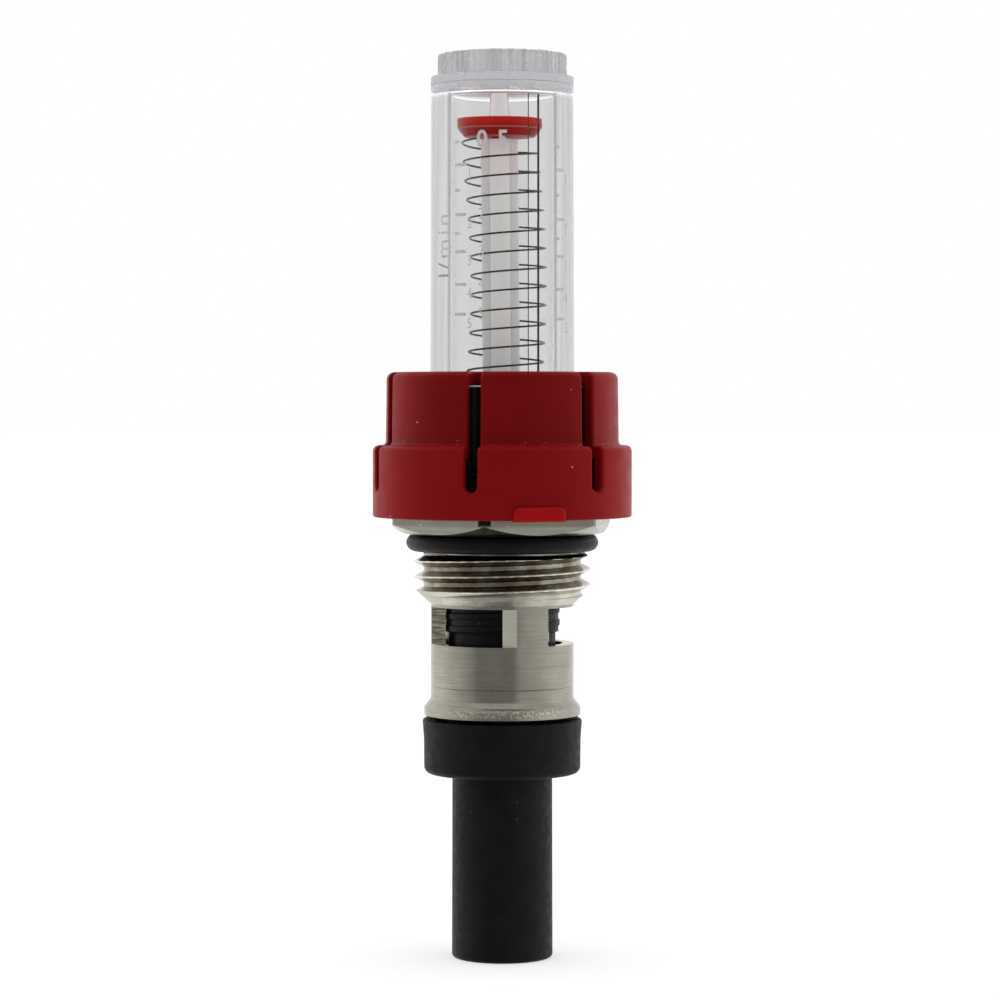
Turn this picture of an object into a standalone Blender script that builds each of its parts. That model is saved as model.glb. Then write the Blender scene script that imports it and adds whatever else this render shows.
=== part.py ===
"""Flow meter valve insert for a heating manifold.

A sight glass holds a sprung float. Below it are a handwheel under a lock cap, a threaded valve body and an
outlet tube. The world origin is the centre of the outlet tube's end, and +Z runs along the valve's axis
towards the sight glass. Heights in this file are counted from the sealing shoulder under the hex, and one
empty at SHOULDER_Z carries everything. A bearing is an angle about +Z counted from -Y towards +X. Every piece
is modelled in place, so each object's origin lies on the axis its joint turns about or slides along.
"""

import math

import bmesh
import bpy
from mathutils import Matrix, Vector

MM = 0.001
GAP = 0.3 * MM

# Smoothness of the turned pieces.
LARGE_STEPS = 32
CAP_STEPS = 42
SMALL_STEPS = 20
RING_SECTION_STEPS = 6

# Pipe thread G1/2.
THREAD_R = 20.955 / 2 * MM
THREAD_PITCH = 1.814 * MM
THREAD_DEPTH = 1.162 * MM
THREAD_TOP = -2.3 * MM
THREAD_BOTTOM = -7.4 * MM

# Valve body.
HEX_FLATS = 24.0 * MM
HEX_BEARING = -8.8
HEX_TOP = 6.8 * MM
SHOULDER_INNER_R = 11.45 * MM
SHOULDER_OUTER_R = 11.75 * MM
O_RING_GROOVE_R = 9.15 * MM
HUB_BORE_R = 8.9 * MM
HUB_BORE_BOTTOM = 2.6 * MM
SPINDLE_BORE_R = 7.1 * MM
STEM_R = 8.45 * MM
STEM_TOP = -8.3 * MM
FLANGE_R = 9.25 * MM
FLANGE_BOTTOM = -21.65 * MM
SPIGOT_R = 7.7 * MM
SPIGOT_BOTTOM = -25.0 * MM
SEAT_Z = -20.05 * MM
SEAT_BORE_R = 4.4 * MM

# Flow windows: flats milled across the stem, deep enough to open the spindle's bore.
WINDOW_TOP = -8.6 * MM
WINDOW_BOTTOM = -13.0 * MM
WINDOW_BEARING = -34.7
WINDOW_FLAT = 5.82 * MM
WINDOWS = 3

# O-rings: centre radius, section radius and height.
BODY_RING = (10.33 * MM, 1.02 * MM, -1.07 * MM)
TUBE_RING = (7.42 * MM, 0.45 * MM, -23.25 * MM)
SPINDLE_RING_UPPER = (6.25 * MM, 0.72 * MM, 0.45 * MM)
SPINDLE_RING_LOWER = (6.25 * MM, 0.72 * MM, -2.05 * MM)

# Outlet tube.
CUP_TOP = -21.95 * MM
CUP_RIM_R = 9.43 * MM
CUP_FOOT_R = 9.25 * MM
CUP_BOTTOM = -28.4 * MM
CUP_BORE_R = 8.05 * MM
CUP_FLOOR = -25.3 * MM
TUBE_R = 5.95 * MM
TUBE_BOTTOM = -50.25 * MM
SHOULDER_Z = -TUBE_BOTTOM
TUBE_BORE_TOP_R = 4.0 * MM
TUBE_BORE_BOTTOM_R = 4.8 * MM

# Handwheel.
WHEEL_R = 12.1 * MM
WHEEL_TOP = 17.4 * MM
WHEEL_BOTTOM = 7.65 * MM
WHEEL_FLUTES = 18
HUB_R = 8.6 * MM
HUB_BOTTOM = 2.9 * MM
CLIP_GROOVE_HUB_R = 7.9 * MM
CLIP_GROOVE_BODY_R = 9.5 * MM
CLIP_GROOVE_TOP = 4.7 * MM
CLIP_GROOVE_BOTTOM = 3.5 * MM
SOCKET_FLATS = 10.4 * MM
SOCKET_TOP = 9.0 * MM
POCKET_R = 8.65 * MM
POCKET_FLOOR = 10.5 * MM
COLLAR_HOLE_R = 3.6 * MM

# Sight glass, scale sleeve and end plug.
GLASS_FOOT_R = 8.52 * MM
GLASS_TOP_R = 8.375 * MM
GLASS_BORE_R = 6.45 * MM
GLASS_BOTTOM = 12.2 * MM
GLASS_TOP = 51.5 * MM
SLEEVE_R = 6.3 * MM
SLEEVE_BORE_R = 6.0 * MM
SLEEVE_BOTTOM = 13.1 * MM
SLEEVE_TOP = 51.3 * MM
SLEEVE_SLIT = 1.3 * MM
SLEEVE_SLIT_BEARING = 32.5
PLUG_R = 8.42 * MM
PLUG_BOTTOM = 51.7 * MM
PLUG_FLANGE_TOP = 53.7 * MM
PLUG_HEAD_R = 7.6 * MM
PLUG_TOP = 56.4 * MM
PLUG_RIBS = 60

# Lock cap.
CAP_TOP = 19.0 * MM
CAP_UPPER_TOP_R = 13.65 * MM
CAP_UPPER_FOOT_R = 13.75 * MM
CAP_STEP_Z = 10.4 * MM
CAP_LOWER_R = 15.3 * MM
CAP_BOTTOM = 1.95 * MM
CAP_HOLE_R = 8.8 * MM
CAP_UPPER_BORE_R = 12.45 * MM
CAP_LOWER_BORE_R = 14.1 * MM
CAP_CEILING = 17.6 * MM
CAP_LOWER_CEILING = 9.0 * MM
CAP_SLOTS = 6
CAP_SLOT_WIDTH = 1.6 * MM
CAP_SLOT_BOTTOM = 5.1 * MM
CAP_SLOT_INNER_R = 9.9 * MM
CAP_SLOT_BEARING = -14.0
TAB_BEARING = 16.0
TAB_WIDTH = 5.9 * MM
TAB_REACH = 0.9 * MM
TAB_BOTTOM = 1.8 * MM
TAB_TOP = 3.5 * MM

# Spindle, at its highest, which is the open position.
SPINDLE_R = 6.8 * MM
SPINDLE_HEX_FLATS = 10.0 * MM
SPINDLE_TOP = 8.2 * MM
SPINDLE_PITCH = 1.5 * MM
SPINDLE_THREAD_DEPTH = 0.35 * MM
SPINDLE_THREAD_TOP = -3.6 * MM
SPINDLE_THREAD_BOTTOM = -11.5 * MM
SPINDLE_FOOT_R = 6.3 * MM
SPINDLE_FOOT = -14.6 * MM
STUB_R = 3.2 * MM
STUB_BOTTOM = -17.4 * MM
SPINDLE_ROD_BORE_R = 2.5 * MM

# Float: rod, disc, tip and baffle, at the top of their travel.
ROD_R = 2.2 * MM
ROD_TOP = 46.3 * MM
ROD_STEP = 9.8 * MM
STEM_ROD_R = 1.2 * MM
ROD_BOTTOM = -27.4 * MM
DISC_R = 5.0 * MM
DISC_TOP = 48.7 * MM
DISC_RIM_BOTTOM = 47.75 * MM
DISC_BOTTOM = 46.6 * MM
TIP_R = 1.27 * MM
TIP_TOP = 51.8 * MM
PIN_R = 0.8 * MM
PIN_HOLE_R = 1.1 * MM
BAFFLE_R = 3.6 * MM
BAFFLE_TOP = -25.6 * MM
BAFFLE_BOTTOM = -26.3 * MM

# Spring.
SPRING_WIRE_R = 0.11 * MM
SPRING_R = 4.43 * MM
SPRING_BOTTOM = 13.05 * MM
SPRING_TOP = 46.3 * MM
SPRING_TURNS = 15
SPRING_END_TURNS = 1
SPRING_END_PITCH = 0.46 * MM
SPRING_STEPS = 8


def new_collection(name):
    made = bpy.data.collections.new(name)
    bpy.context.scene.collection.children.link(made)
    return made


def clear_scene():
    for old in list(bpy.data.objects):
        bpy.data.objects.remove(old, do_unlink=True)


clear_scene()
PARTS = new_collection("flow_meter_valve")
CUTTERS = new_collection("cutters")


# ---------------------------------------------------------------- materials


def material(name, colour, roughness, metallic=0.0, transmission=0.0):
    made = bpy.data.materials.new(name)
    made.use_nodes = True
    shader = made.node_tree.nodes["Principled BSDF"]
    shader.inputs["Base Color"].default_value = (*colour, 1.0)
    shader.inputs["Roughness"].default_value = roughness
    shader.inputs["Metallic"].default_value = metallic
    shader.inputs["Transmission Weight"].default_value = transmission
    return made


NICKEL = material("nickel_plate", (0.42, 0.39, 0.33), 0.28, metallic=1.0)
STEEL = material("spring_steel", (0.25, 0.24, 0.23), 0.35, metallic=1.0)
RED_CAP = material("red_cap_plastic", (0.34, 0.006, 0.012), 0.42)
RED_DISC = material("red_disc_plastic", (0.55, 0.010, 0.008), 0.35)
BLACK_PLASTIC = material("black_plastic", (0.012, 0.012, 0.013), 0.50)
BLACK_RUBBER = material("black_rubber", (0.010, 0.010, 0.010), 0.65)
WHITE_PLASTIC = material("white_plastic", (0.62, 0.62, 0.60), 0.40)
PINK_CLEAR = material("pink_clear_plastic", (0.90, 0.72, 0.72), 0.15, transmission=0.6)
CLEAR_PLASTIC = material("clear_plastic", (0.95, 0.96, 0.96), 0.05, transmission=0.95)


# ---------------------------------------------------------------- building tools


def new_object(name, data, collection, surface=None):
    made = bpy.data.objects.new(name, data)
    collection.objects.link(made)
    if surface:
        data.materials.append(surface)
    if collection is CUTTERS:
        made.hide_render = True
        made.display_type = "WIRE"
    return made


def arc(centre_r, centre_z, radius, start, end, steps=3):
    """Profile points along an arc, with angles in degrees from +X towards +Z."""
    angles = [math.radians(start + (end - start) * i / steps) for i in range(steps + 1)]
    return [(centre_r + radius * math.cos(a), centre_z + radius * math.sin(a)) for a in angles]


def profile_mesh(name, profile, closed):
    made = bpy.data.meshes.new(name)
    count = len(profile)
    edges = [(i, i + 1) for i in range(count - 1)]
    if closed:
        edges.append((count - 1, 0))
    made.from_pydata([(r, 0.0, z) for r, z in profile], edges, [])
    return made


def turned(name, profile, surface, steps=LARGE_STEPS):
    """A solid of revolution. The profile runs down the outer side and, where it is hollow, back up the bore."""
    on_axis = profile[0][0] == 0.0
    mesh = profile_mesh(name, profile, closed=not on_axis)
    made = new_object(name, mesh, PARTS, surface)
    screw = made.modifiers.new("turn", "SCREW")
    screw.steps = steps
    screw.render_steps = steps
    screw.use_merge_vertices = True
    screw.merge_threshold = 0.00001
    screw.use_smooth_shade = True
    return made


def solid_mesh(source, name):
    """The evaluated shape of an object as a closed mesh, kept as a cutter. The source is removed."""
    bpy.context.view_layer.update()
    graph = bpy.context.evaluated_depsgraph_get()
    mesh = bpy.data.meshes.new_from_object(source.evaluated_get(graph), depsgraph=graph)
    matrix = source.matrix_world.copy()
    bpy.data.objects.remove(source, do_unlink=True)
    sewn = bmesh.new()
    sewn.from_mesh(mesh)
    bmesh.ops.remove_doubles(sewn, verts=sewn.verts, dist=0.000001)
    open_edges = [edge for edge in sewn.edges if edge.is_boundary]
    if open_edges:
        bmesh.ops.holes_fill(sewn, edges=open_edges, sides=0)
    bmesh.ops.recalc_face_normals(sewn, faces=sewn.faces)
    sewn.to_mesh(mesh)
    sewn.free()
    made = new_object(name, mesh, CUTTERS)
    made.matrix_world = matrix
    return made


def outline_solid(name, outline, bottom, top):
    """A flat outline in X and Y made into a plate between two heights."""
    curve = bpy.data.curves.new(name, "CURVE")
    curve.dimensions = "2D"
    curve.fill_mode = "BOTH"
    curve.extrude = (top - bottom) / 2
    spline = curve.splines.new("POLY")
    spline.points.add(len(outline) - 1)
    for point, (x, y) in zip(spline.points, outline):
        point.co = (x, y, 0.0, 1.0)
    spline.use_cyclic_u = True
    flat = new_object(name, curve, CUTTERS)
    flat.location.z = (top + bottom) / 2
    return solid_mesh(flat, name)


def add_prism(shape, radius, bottom, top, sides, x=0.0, y=0.0, bearing=0.0):
    """Adds an upright prism to a bmesh. A corner faces the bearing."""
    made = bmesh.ops.create_cone(
        shape, cap_ends=True, segments=sides, radius1=radius, radius2=radius, depth=top - bottom
    )
    centre_z = (top + bottom) / 2
    turn = math.radians(bearing)
    for vertex in made["verts"]:
        px, py, pz = vertex.co
        vertex.co.x = x + px * math.cos(turn) - py * math.sin(turn)
        vertex.co.y = y + px * math.sin(turn) + py * math.cos(turn)
        vertex.co.z = centre_z + pz


def prism(name, radius, bottom, top, sides, bearing=0.0):
    mesh = bpy.data.meshes.new(name)
    shape = bmesh.new()
    add_prism(shape, radius, bottom, top, sides, bearing=bearing)
    shape.to_mesh(mesh)
    shape.free()
    return new_object(name, mesh, CUTTERS)


def prism_ring(name, radius, ring_r, bottom, top, sides, count, first_bearing):
    """A cutter of equal upright prisms set round the axis."""
    mesh = bpy.data.meshes.new(name)
    shape = bmesh.new()
    for i in range(count):
        bearing = math.radians(first_bearing + 360.0 * i / count)
        add_prism(shape, radius, bottom, top, sides, ring_r * math.sin(bearing), -ring_r * math.cos(bearing))
    shape.to_mesh(mesh)
    shape.free()
    return new_object(name, mesh, CUTTERS)


def block(name, size, centre, bearing):
    """A cutter box that faces away from the axis along a bearing. centre is its (distance out, height)."""
    mesh = bpy.data.meshes.new(name)
    shape = bmesh.new()
    bmesh.ops.create_cube(shape, size=1.0)
    for vertex in shape.verts:
        vertex.co.x *= size[0]
        vertex.co.y = vertex.co.y * size[1] - centre[0]
        vertex.co.z = vertex.co.z * size[2] + centre[1]
    shape.to_mesh(mesh)
    shape.free()
    made = new_object(name, mesh, CUTTERS)
    made.rotation_euler.z = math.radians(bearing)
    return made


def boolean(target, other, operation="DIFFERENCE"):
    step = target.modifiers.new(other.name, "BOOLEAN")
    step.operation = operation
    step.solver = "EXACT"
    step.object = other


def corner_radius(across_flats):
    return across_flats / 2 / math.cos(math.pi / 6)


def hex_flats_cutter(name, across_flats, bottom, top, outer_r, bearing):
    """A ring with a hexagonal hole, which cuts six flats on what it surrounds."""
    ring = prism(name, outer_r, bottom, top, LARGE_STEPS)
    hole = prism(name + "_hole", corner_radius(across_flats), bottom - GAP, top + GAP, 6, bearing)
    boolean(ring, hole)
    return ring


def thread_groove(name, outer_r, depth, pitch, top, turns, half_angle, root_width, steps):
    """The helical groove of a right-hand thread, as a cutter that stands a little outside the crest."""
    proud = 0.12 * MM
    root_r = outer_r - depth
    half_mouth = root_width / 2 + (depth + proud) * math.tan(math.radians(half_angle))
    start = top - turns * pitch
    section = [
        (outer_r + proud, start + half_mouth),
        (outer_r + proud, start - half_mouth),
        (root_r, start - root_width / 2),
        (root_r, start + root_width / 2),
    ]
    made = new_object(name, profile_mesh(name, section, closed=True), CUTTERS)
    screw = made.modifiers.new("helix", "SCREW")
    screw.steps = steps
    screw.render_steps = steps
    screw.iterations = turns
    screw.screw_offset = pitch
    screw.use_merge_vertices = False
    return solid_mesh(made, name)


def o_ring(name, ring, steps=SMALL_STEPS):
    """A rubber ring from its (centre radius, section radius, height)."""
    centre_r, section_r, height = ring
    section = arc(centre_r, height, section_r, 90, -270, RING_SECTION_STEPS)[:-1]
    return turned(name, section, BLACK_RUBBER, steps)


def split_ring(name, inner_r, outer_r, bottom, top, gap, bearing, surface):
    """A flat snap ring with a gap that faces the bearing."""
    profile = [(outer_r, top), (outer_r, bottom), (inner_r, bottom), (inner_r, top)]
    made = turned(name, profile, surface, SMALL_STEPS)
    size = (gap, outer_r, 4 * (top - bottom))
    slot = block(name + "_gap", size, (outer_r, (top + bottom) / 2), bearing)
    boolean(made, slot)
    return made


# ---------------------------------------------------------------- valve body and what is fixed to it


def make_window_cutter(index):
    """A box whose inner face lies in the window's flat."""
    depth = STEM_R - WINDOW_FLAT + 1.0 * MM
    size = (2 * STEM_R, depth, WINDOW_TOP - WINDOW_BOTTOM)
    centre = (WINDOW_FLAT + depth / 2, (WINDOW_TOP + WINDOW_BOTTOM) / 2)
    return block(f"window_{index}", size, centre, WINDOW_BEARING + 360.0 * index / WINDOWS)


def make_valve_body():
    chamfer_r = corner_radius(HEX_FLATS) + 0.1 * MM
    slope = math.tan(math.radians(30))
    profile = [
        (12.7 * MM, HEX_TOP),
        (chamfer_r, HEX_TOP - (chamfer_r - 12.7 * MM) * slope),
        (chamfer_r, (chamfer_r - SHOULDER_OUTER_R) * slope),
        (SHOULDER_OUTER_R, 0.0),
        (SHOULDER_INNER_R, 0.0),
        (SHOULDER_INNER_R, 0.15 * MM),
        (O_RING_GROOVE_R, 0.15 * MM),
        (O_RING_GROOVE_R, THREAD_TOP),
        (THREAD_R - 0.5 * MM, THREAD_TOP),
        (THREAD_R, THREAD_TOP - 0.35 * MM),
        (THREAD_R, THREAD_BOTTOM + 0.3 * MM),
        (9.5 * MM, THREAD_BOTTOM),
        (STEM_R, STEM_TOP),
        (STEM_R, -17.9 * MM),
        (STEM_R - 0.15 * MM, -18.05 * MM),
        (STEM_R, -18.2 * MM),
        (STEM_R, -19.5 * MM),
        (FLANGE_R, -20.5 * MM),
        (FLANGE_R, FLANGE_BOTTOM + 0.25 * MM),
        (FLANGE_R - 0.25 * MM, FLANGE_BOTTOM),
        (SPIGOT_R, FLANGE_BOTTOM),
        (SPIGOT_R, -22.6 * MM),
        (6.9 * MM, -22.6 * MM),
        (6.9 * MM, -23.9 * MM),
        (SPIGOT_R, -23.9 * MM),
        (SPIGOT_R, SPIGOT_BOTTOM + 0.3 * MM),
        (SPIGOT_R - 0.3 * MM, SPIGOT_BOTTOM),
        (SEAT_BORE_R, SPIGOT_BOTTOM),
        (SEAT_BORE_R, SEAT_Z - 0.3 * MM),
        (SEAT_BORE_R + 0.3 * MM, SEAT_Z),
        (5.3 * MM, SEAT_Z),
        (5.6 * MM, SEAT_Z - 0.35 * MM),
        (SPINDLE_BORE_R, SEAT_Z - 0.35 * MM),
        (SPINDLE_BORE_R, HUB_BORE_BOTTOM),
        (HUB_BORE_R, HUB_BORE_BOTTOM),
        (HUB_BORE_R, CLIP_GROOVE_BOTTOM),
        (CLIP_GROOVE_BODY_R, CLIP_GROOVE_BOTTOM),
        (CLIP_GROOVE_BODY_R, CLIP_GROOVE_TOP),
        (HUB_BORE_R, CLIP_GROOVE_TOP),
        (HUB_BORE_R, HEX_TOP - 0.4 * MM),
        (HUB_BORE_R + 0.4 * MM, HEX_TOP),
    ]
    body = turned("valve_body", profile, NICKEL)
    boolean(body, hex_flats_cutter("hex_flats", HEX_FLATS, -1.0 * MM, 8.0 * MM, 20.0 * MM, HEX_BEARING))
    boolean(body, thread_groove("pipe_thread", THREAD_R, THREAD_DEPTH, THREAD_PITCH, -1.6 * MM, 4, 27.5,
                                0.3 * MM, LARGE_STEPS))
    for i in range(WINDOWS):
        boolean(body, make_window_cutter(i))
    boolean(body, block("stop_notch", (1.5 * MM, 3.0 * MM, 7.0 * MM), (13.4 * MM, 4.7 * MM), HEX_BEARING))
    return body


def make_outlet_tube():
    round_r = 0.75 * MM
    foot = arc(CUP_FOOT_R - round_r, CUP_BOTTOM + round_r, round_r, 0, -90)
    profile = [
        (CUP_RIM_R - 0.3 * MM, CUP_TOP),
        (CUP_RIM_R, CUP_TOP - 0.3 * MM),
        (CUP_FOOT_R + 0.05 * MM, CUP_TOP - 2.2 * MM),
        *foot,
        (TUBE_R - 0.05 * MM, CUP_BOTTOM),
        (TUBE_R, TUBE_BOTTOM + 0.4 * MM),
        (TUBE_R - 0.35 * MM, TUBE_BOTTOM),
        (TUBE_BORE_BOTTOM_R, TUBE_BOTTOM),
        (TUBE_BORE_TOP_R, CUP_FLOOR),
        (CUP_BORE_R, CUP_FLOOR),
        (CUP_BORE_R, CUP_TOP),
    ]
    return turned("outlet_tube", profile, BLACK_PLASTIC)


def make_stop_ring():
    bottom = HEX_TOP + 0.15 * MM
    top = bottom + 0.45 * MM
    ring_r = 11.9 * MM
    profile = [(ring_r, top), (ring_r, bottom), (HUB_BORE_R + 0.1 * MM, bottom), (HUB_BORE_R + 0.1 * MM, top)]
    ring = turned("stop_ring", profile, BLACK_PLASTIC)
    arm_size = (1.2 * MM, 2.4 * MM, top - bottom)
    arm = block("stop_arm", arm_size, (12.4 * MM, (top + bottom) / 2), HEX_BEARING)
    tab_bottom = 1.35 * MM
    tab_height = top - 0.05 * MM - tab_bottom
    tab_size = (1.19 * MM, 1.3 * MM, tab_height)
    tab = block("stop_tab", tab_size, (12.9 * MM, tab_bottom + tab_height / 2), HEX_BEARING)
    boolean(ring, arm, "UNION")
    boolean(ring, tab, "UNION")
    return ring


# ---------------------------------------------------------------- handwheel, glass and what turns with them


def make_handwheel():
    profile = [
        (WHEEL_R - 0.5 * MM, WHEEL_TOP),
        (WHEEL_R, WHEEL_TOP - 0.5 * MM),
        (WHEEL_R, WHEEL_BOTTOM),
        (HUB_R, WHEEL_BOTTOM),
        (HUB_R, CLIP_GROOVE_TOP),
        (CLIP_GROOVE_HUB_R, CLIP_GROOVE_TOP),
        (CLIP_GROOVE_HUB_R, CLIP_GROOVE_BOTTOM),
        (HUB_R, CLIP_GROOVE_BOTTOM),
        (HUB_R, HUB_BOTTOM + 0.2 * MM),
        (HUB_R - 0.2 * MM, HUB_BOTTOM),
        (COLLAR_HOLE_R, HUB_BOTTOM),
        (COLLAR_HOLE_R, POCKET_FLOOR),
        (POCKET_R, POCKET_FLOOR),
        (POCKET_R, WHEEL_TOP),
    ]
    wheel = turned("handwheel", profile, BLACK_PLASTIC)
    socket_r = corner_radius(SOCKET_FLATS)
    boolean(wheel, prism("hex_socket", socket_r, HUB_BOTTOM - GAP, SOCKET_TOP, 6))
    boolean(wheel, prism_ring("grip_flutes", 1.1 * MM, WHEEL_R + 0.6 * MM, WHEEL_BOTTOM - GAP,
                              WHEEL_TOP + GAP, 10, WHEEL_FLUTES, 0.0))
    return wheel


def make_sight_glass():
    profile = [
        (GLASS_TOP_R, GLASS_TOP),
        (GLASS_FOOT_R, GLASS_BOTTOM),
        (GLASS_BORE_R, GLASS_BOTTOM),
        (GLASS_BORE_R, GLASS_TOP),
    ]
    return turned("sight_glass", profile, CLEAR_PLASTIC)


def make_glass_gasket():
    bottom = POCKET_FLOOR + 0.2 * MM
    top = GLASS_BOTTOM - 0.2 * MM
    inner = 6.9 * MM
    profile = [(GLASS_FOOT_R, top), (GLASS_FOOT_R, bottom), (inner, bottom), (inner, top)]
    return turned("glass_gasket", profile, BLACK_RUBBER, SMALL_STEPS)


def make_scale_sleeve():
    profile = [
        (SLEEVE_R, SLEEVE_TOP),
        (SLEEVE_R, SLEEVE_BOTTOM),
        (SLEEVE_BORE_R, SLEEVE_BOTTOM),
        (SLEEVE_BORE_R, SLEEVE_TOP),
    ]
    sleeve = turned("scale_sleeve", profile, CLEAR_PLASTIC)
    height = SLEEVE_TOP - SLEEVE_BOTTOM
    slit = block("sleeve_slit", (SLEEVE_SLIT, 4 * MM, 1.1 * height),
                 (SLEEVE_R, SLEEVE_BOTTOM + height / 2), SLEEVE_SLIT_BEARING)
    boolean(sleeve, slit)
    return sleeve


def make_end_plug():
    spigot_r = 5.45 * MM
    cavity_r = 4.6 * MM
    spigot_bottom = 51.2 * MM
    cavity_top = 52.6 * MM
    flange = [
        (0.0, PLUG_FLANGE_TOP),
        (PLUG_R - 0.15 * MM, PLUG_FLANGE_TOP),
        (PLUG_R, PLUG_FLANGE_TOP - 0.15 * MM),
        (PLUG_R, 52.75 * MM),
        (PLUG_R - 0.25 * MM, 52.68 * MM),
        (PLUG_R, 52.6 * MM),
        (PLUG_R, PLUG_BOTTOM),
        (spigot_r, PLUG_BOTTOM),
        (spigot_r, spigot_bottom),
        (cavity_r, spigot_bottom),
        (cavity_r, cavity_top),
        (0.0, cavity_top),
    ]
    plug = turned("end_plug", flange, CLEAR_PLASTIC)
    rib_depth = 0.18 * MM
    outline = []
    for i in range(2 * PLUG_RIBS):
        radius = PLUG_HEAD_R - rib_depth * (i % 2)
        angle = math.pi * i / PLUG_RIBS
        outline.append((radius * math.cos(angle), radius * math.sin(angle)))
    head = outline_solid("knurled_head", outline, PLUG_FLANGE_TOP - 0.3 * MM, PLUG_TOP)
    boolean(plug, head, "UNION")
    return plug


def make_spring_seat():
    flange_top = 12.8 * MM
    flange_bottom = POCKET_FLOOR + 0.3 * MM
    collar_bottom = 9.3 * MM
    collar_r = COLLAR_HOLE_R - GAP
    bore_r = ROD_R + 0.25 * MM
    profile = [
        (SLEEVE_R, flange_top),
        (SLEEVE_R, flange_bottom),
        (collar_r, flange_bottom),
        (collar_r, collar_bottom),
        (bore_r, collar_bottom),
        (bore_r, flange_top),
    ]
    return turned("spring_seat", profile, WHITE_PLASTIC, SMALL_STEPS)


def spring_height(turn):
    """How far up the spring's wire has climbed after so many turns: flat at both ends, even between."""
    last = SPRING_TURNS - SPRING_END_TURNS
    span = SPRING_TOP - SPRING_BOTTOM
    pitch = (span - 2 * SPRING_END_TURNS * SPRING_END_PITCH) / (SPRING_TURNS - 2 * SPRING_END_TURNS)
    climbed = SPRING_END_PITCH * min(turn, SPRING_END_TURNS)
    climbed += pitch * min(max(turn - SPRING_END_TURNS, 0.0), SPRING_TURNS - 2 * SPRING_END_TURNS)
    climbed += SPRING_END_PITCH * max(turn - last, 0.0)
    return climbed


def make_spring():
    curve = bpy.data.curves.new("indicator_spring", "CURVE")
    curve.dimensions = "3D"
    curve.bevel_depth = SPRING_WIRE_R
    curve.bevel_resolution = 2
    curve.use_fill_caps = True
    spline = curve.splines.new("POLY")
    count = SPRING_TURNS * SPRING_STEPS
    spline.points.add(count)
    for i, point in enumerate(spline.points):
        turn = i / SPRING_STEPS
        angle = 2 * math.pi * turn
        height = SPRING_BOTTOM + spring_height(turn)
        point.co = (SPRING_R * math.cos(angle), SPRING_R * math.sin(angle), height, 1.0)
    return new_object("indicator_spring", curve, PARTS, STEEL)


# ---------------------------------------------------------------- spindle


def make_spindle():
    neck_r = 5.4 * MM
    profile = [
        (5.4 * MM, SPINDLE_TOP),
        (5.9 * MM, SPINDLE_TOP - 0.4 * MM),
        (5.9 * MM, 2.3 * MM),
        (SPINDLE_R, 2.3 * MM),
        (SPINDLE_R, 1.4 * MM),
        (neck_r, 1.4 * MM),
        (neck_r, -0.5 * MM),
        (SPINDLE_R, -0.5 * MM),
        (SPINDLE_R, -1.1 * MM),
        (neck_r, -1.1 * MM),
        (neck_r, -3.0 * MM),
        (SPINDLE_R, -3.0 * MM),
        (SPINDLE_R, SPINDLE_THREAD_BOTTOM),
        (SPINDLE_FOOT_R, SPINDLE_THREAD_BOTTOM - 0.4 * MM),
        (SPINDLE_FOOT_R, SPINDLE_FOOT),
        (STUB_R, SPINDLE_FOOT),
        (STUB_R, -16.3 * MM),
        (STUB_R - 0.3 * MM, -16.3 * MM),
        (STUB_R - 0.3 * MM, -17.05 * MM),
        (STUB_R, -17.05 * MM),
        (STUB_R, STUB_BOTTOM),
        (SPINDLE_ROD_BORE_R, STUB_BOTTOM),
        (SPINDLE_ROD_BORE_R, SPINDLE_TOP),
    ]
    spindle = turned("spindle", profile, BLACK_PLASTIC, SMALL_STEPS)
    boolean(spindle, hex_flats_cutter("spindle_flats", SPINDLE_HEX_FLATS, 2.5 * MM, 9.0 * MM, 7.5 * MM, 0.0))
    turns = round((SPINDLE_THREAD_TOP - SPINDLE_THREAD_BOTTOM) / SPINDLE_PITCH)
    boolean(spindle, thread_groove("spindle_thread", SPINDLE_R, SPINDLE_THREAD_DEPTH, SPINDLE_PITCH,
                                   SPINDLE_THREAD_TOP - 0.3 * MM, turns, 30.0, 0.3 * MM, SMALL_STEPS))
    return spindle


def make_seat_seal():
    top = SPINDLE_FOOT - GAP
    bottom = -16.2 * MM
    outer = SPINDLE_FOOT_R
    inner = STUB_R + 0.15 * MM
    profile = [
        (outer, top),
        (outer, bottom + GAP),
        (outer - GAP, bottom),
        (inner, bottom),
        (inner, top),
    ]
    return turned("seat_seal", profile, BLACK_RUBBER, SMALL_STEPS)


# ---------------------------------------------------------------- float


def make_indicator_rod():
    groove_r = 0.9 * MM
    collar_r = 1.6 * MM
    profile = [
        (ROD_R, ROD_TOP),
        (ROD_R, ROD_STEP),
        (STEM_ROD_R, ROD_STEP - 1.0 * MM),
        (STEM_ROD_R, BAFFLE_TOP + 0.8 * MM),
        (collar_r, BAFFLE_TOP + 0.6 * MM),
        (collar_r, BAFFLE_TOP + 0.15 * MM),
        (STEM_ROD_R, BAFFLE_TOP + 0.15 * MM),
        (STEM_ROD_R, BAFFLE_BOTTOM - 0.15 * MM),
        (groove_r, BAFFLE_BOTTOM - 0.15 * MM),
        (groove_r, BAFFLE_BOTTOM - 0.75 * MM),
        (STEM_ROD_R, BAFFLE_BOTTOM - 0.75 * MM),
        (STEM_ROD_R, ROD_BOTTOM + 0.2 * MM),
        (STEM_ROD_R - 0.2 * MM, ROD_BOTTOM),
        (0.0, ROD_BOTTOM),
    ]
    hole_floor = 44.6 * MM
    outer = [(0.0, hole_floor), (PIN_HOLE_R, hole_floor), (PIN_HOLE_R, ROD_TOP)]
    return turned("indicator_rod", outer + profile, WHITE_PLASTIC, SMALL_STEPS)


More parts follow.
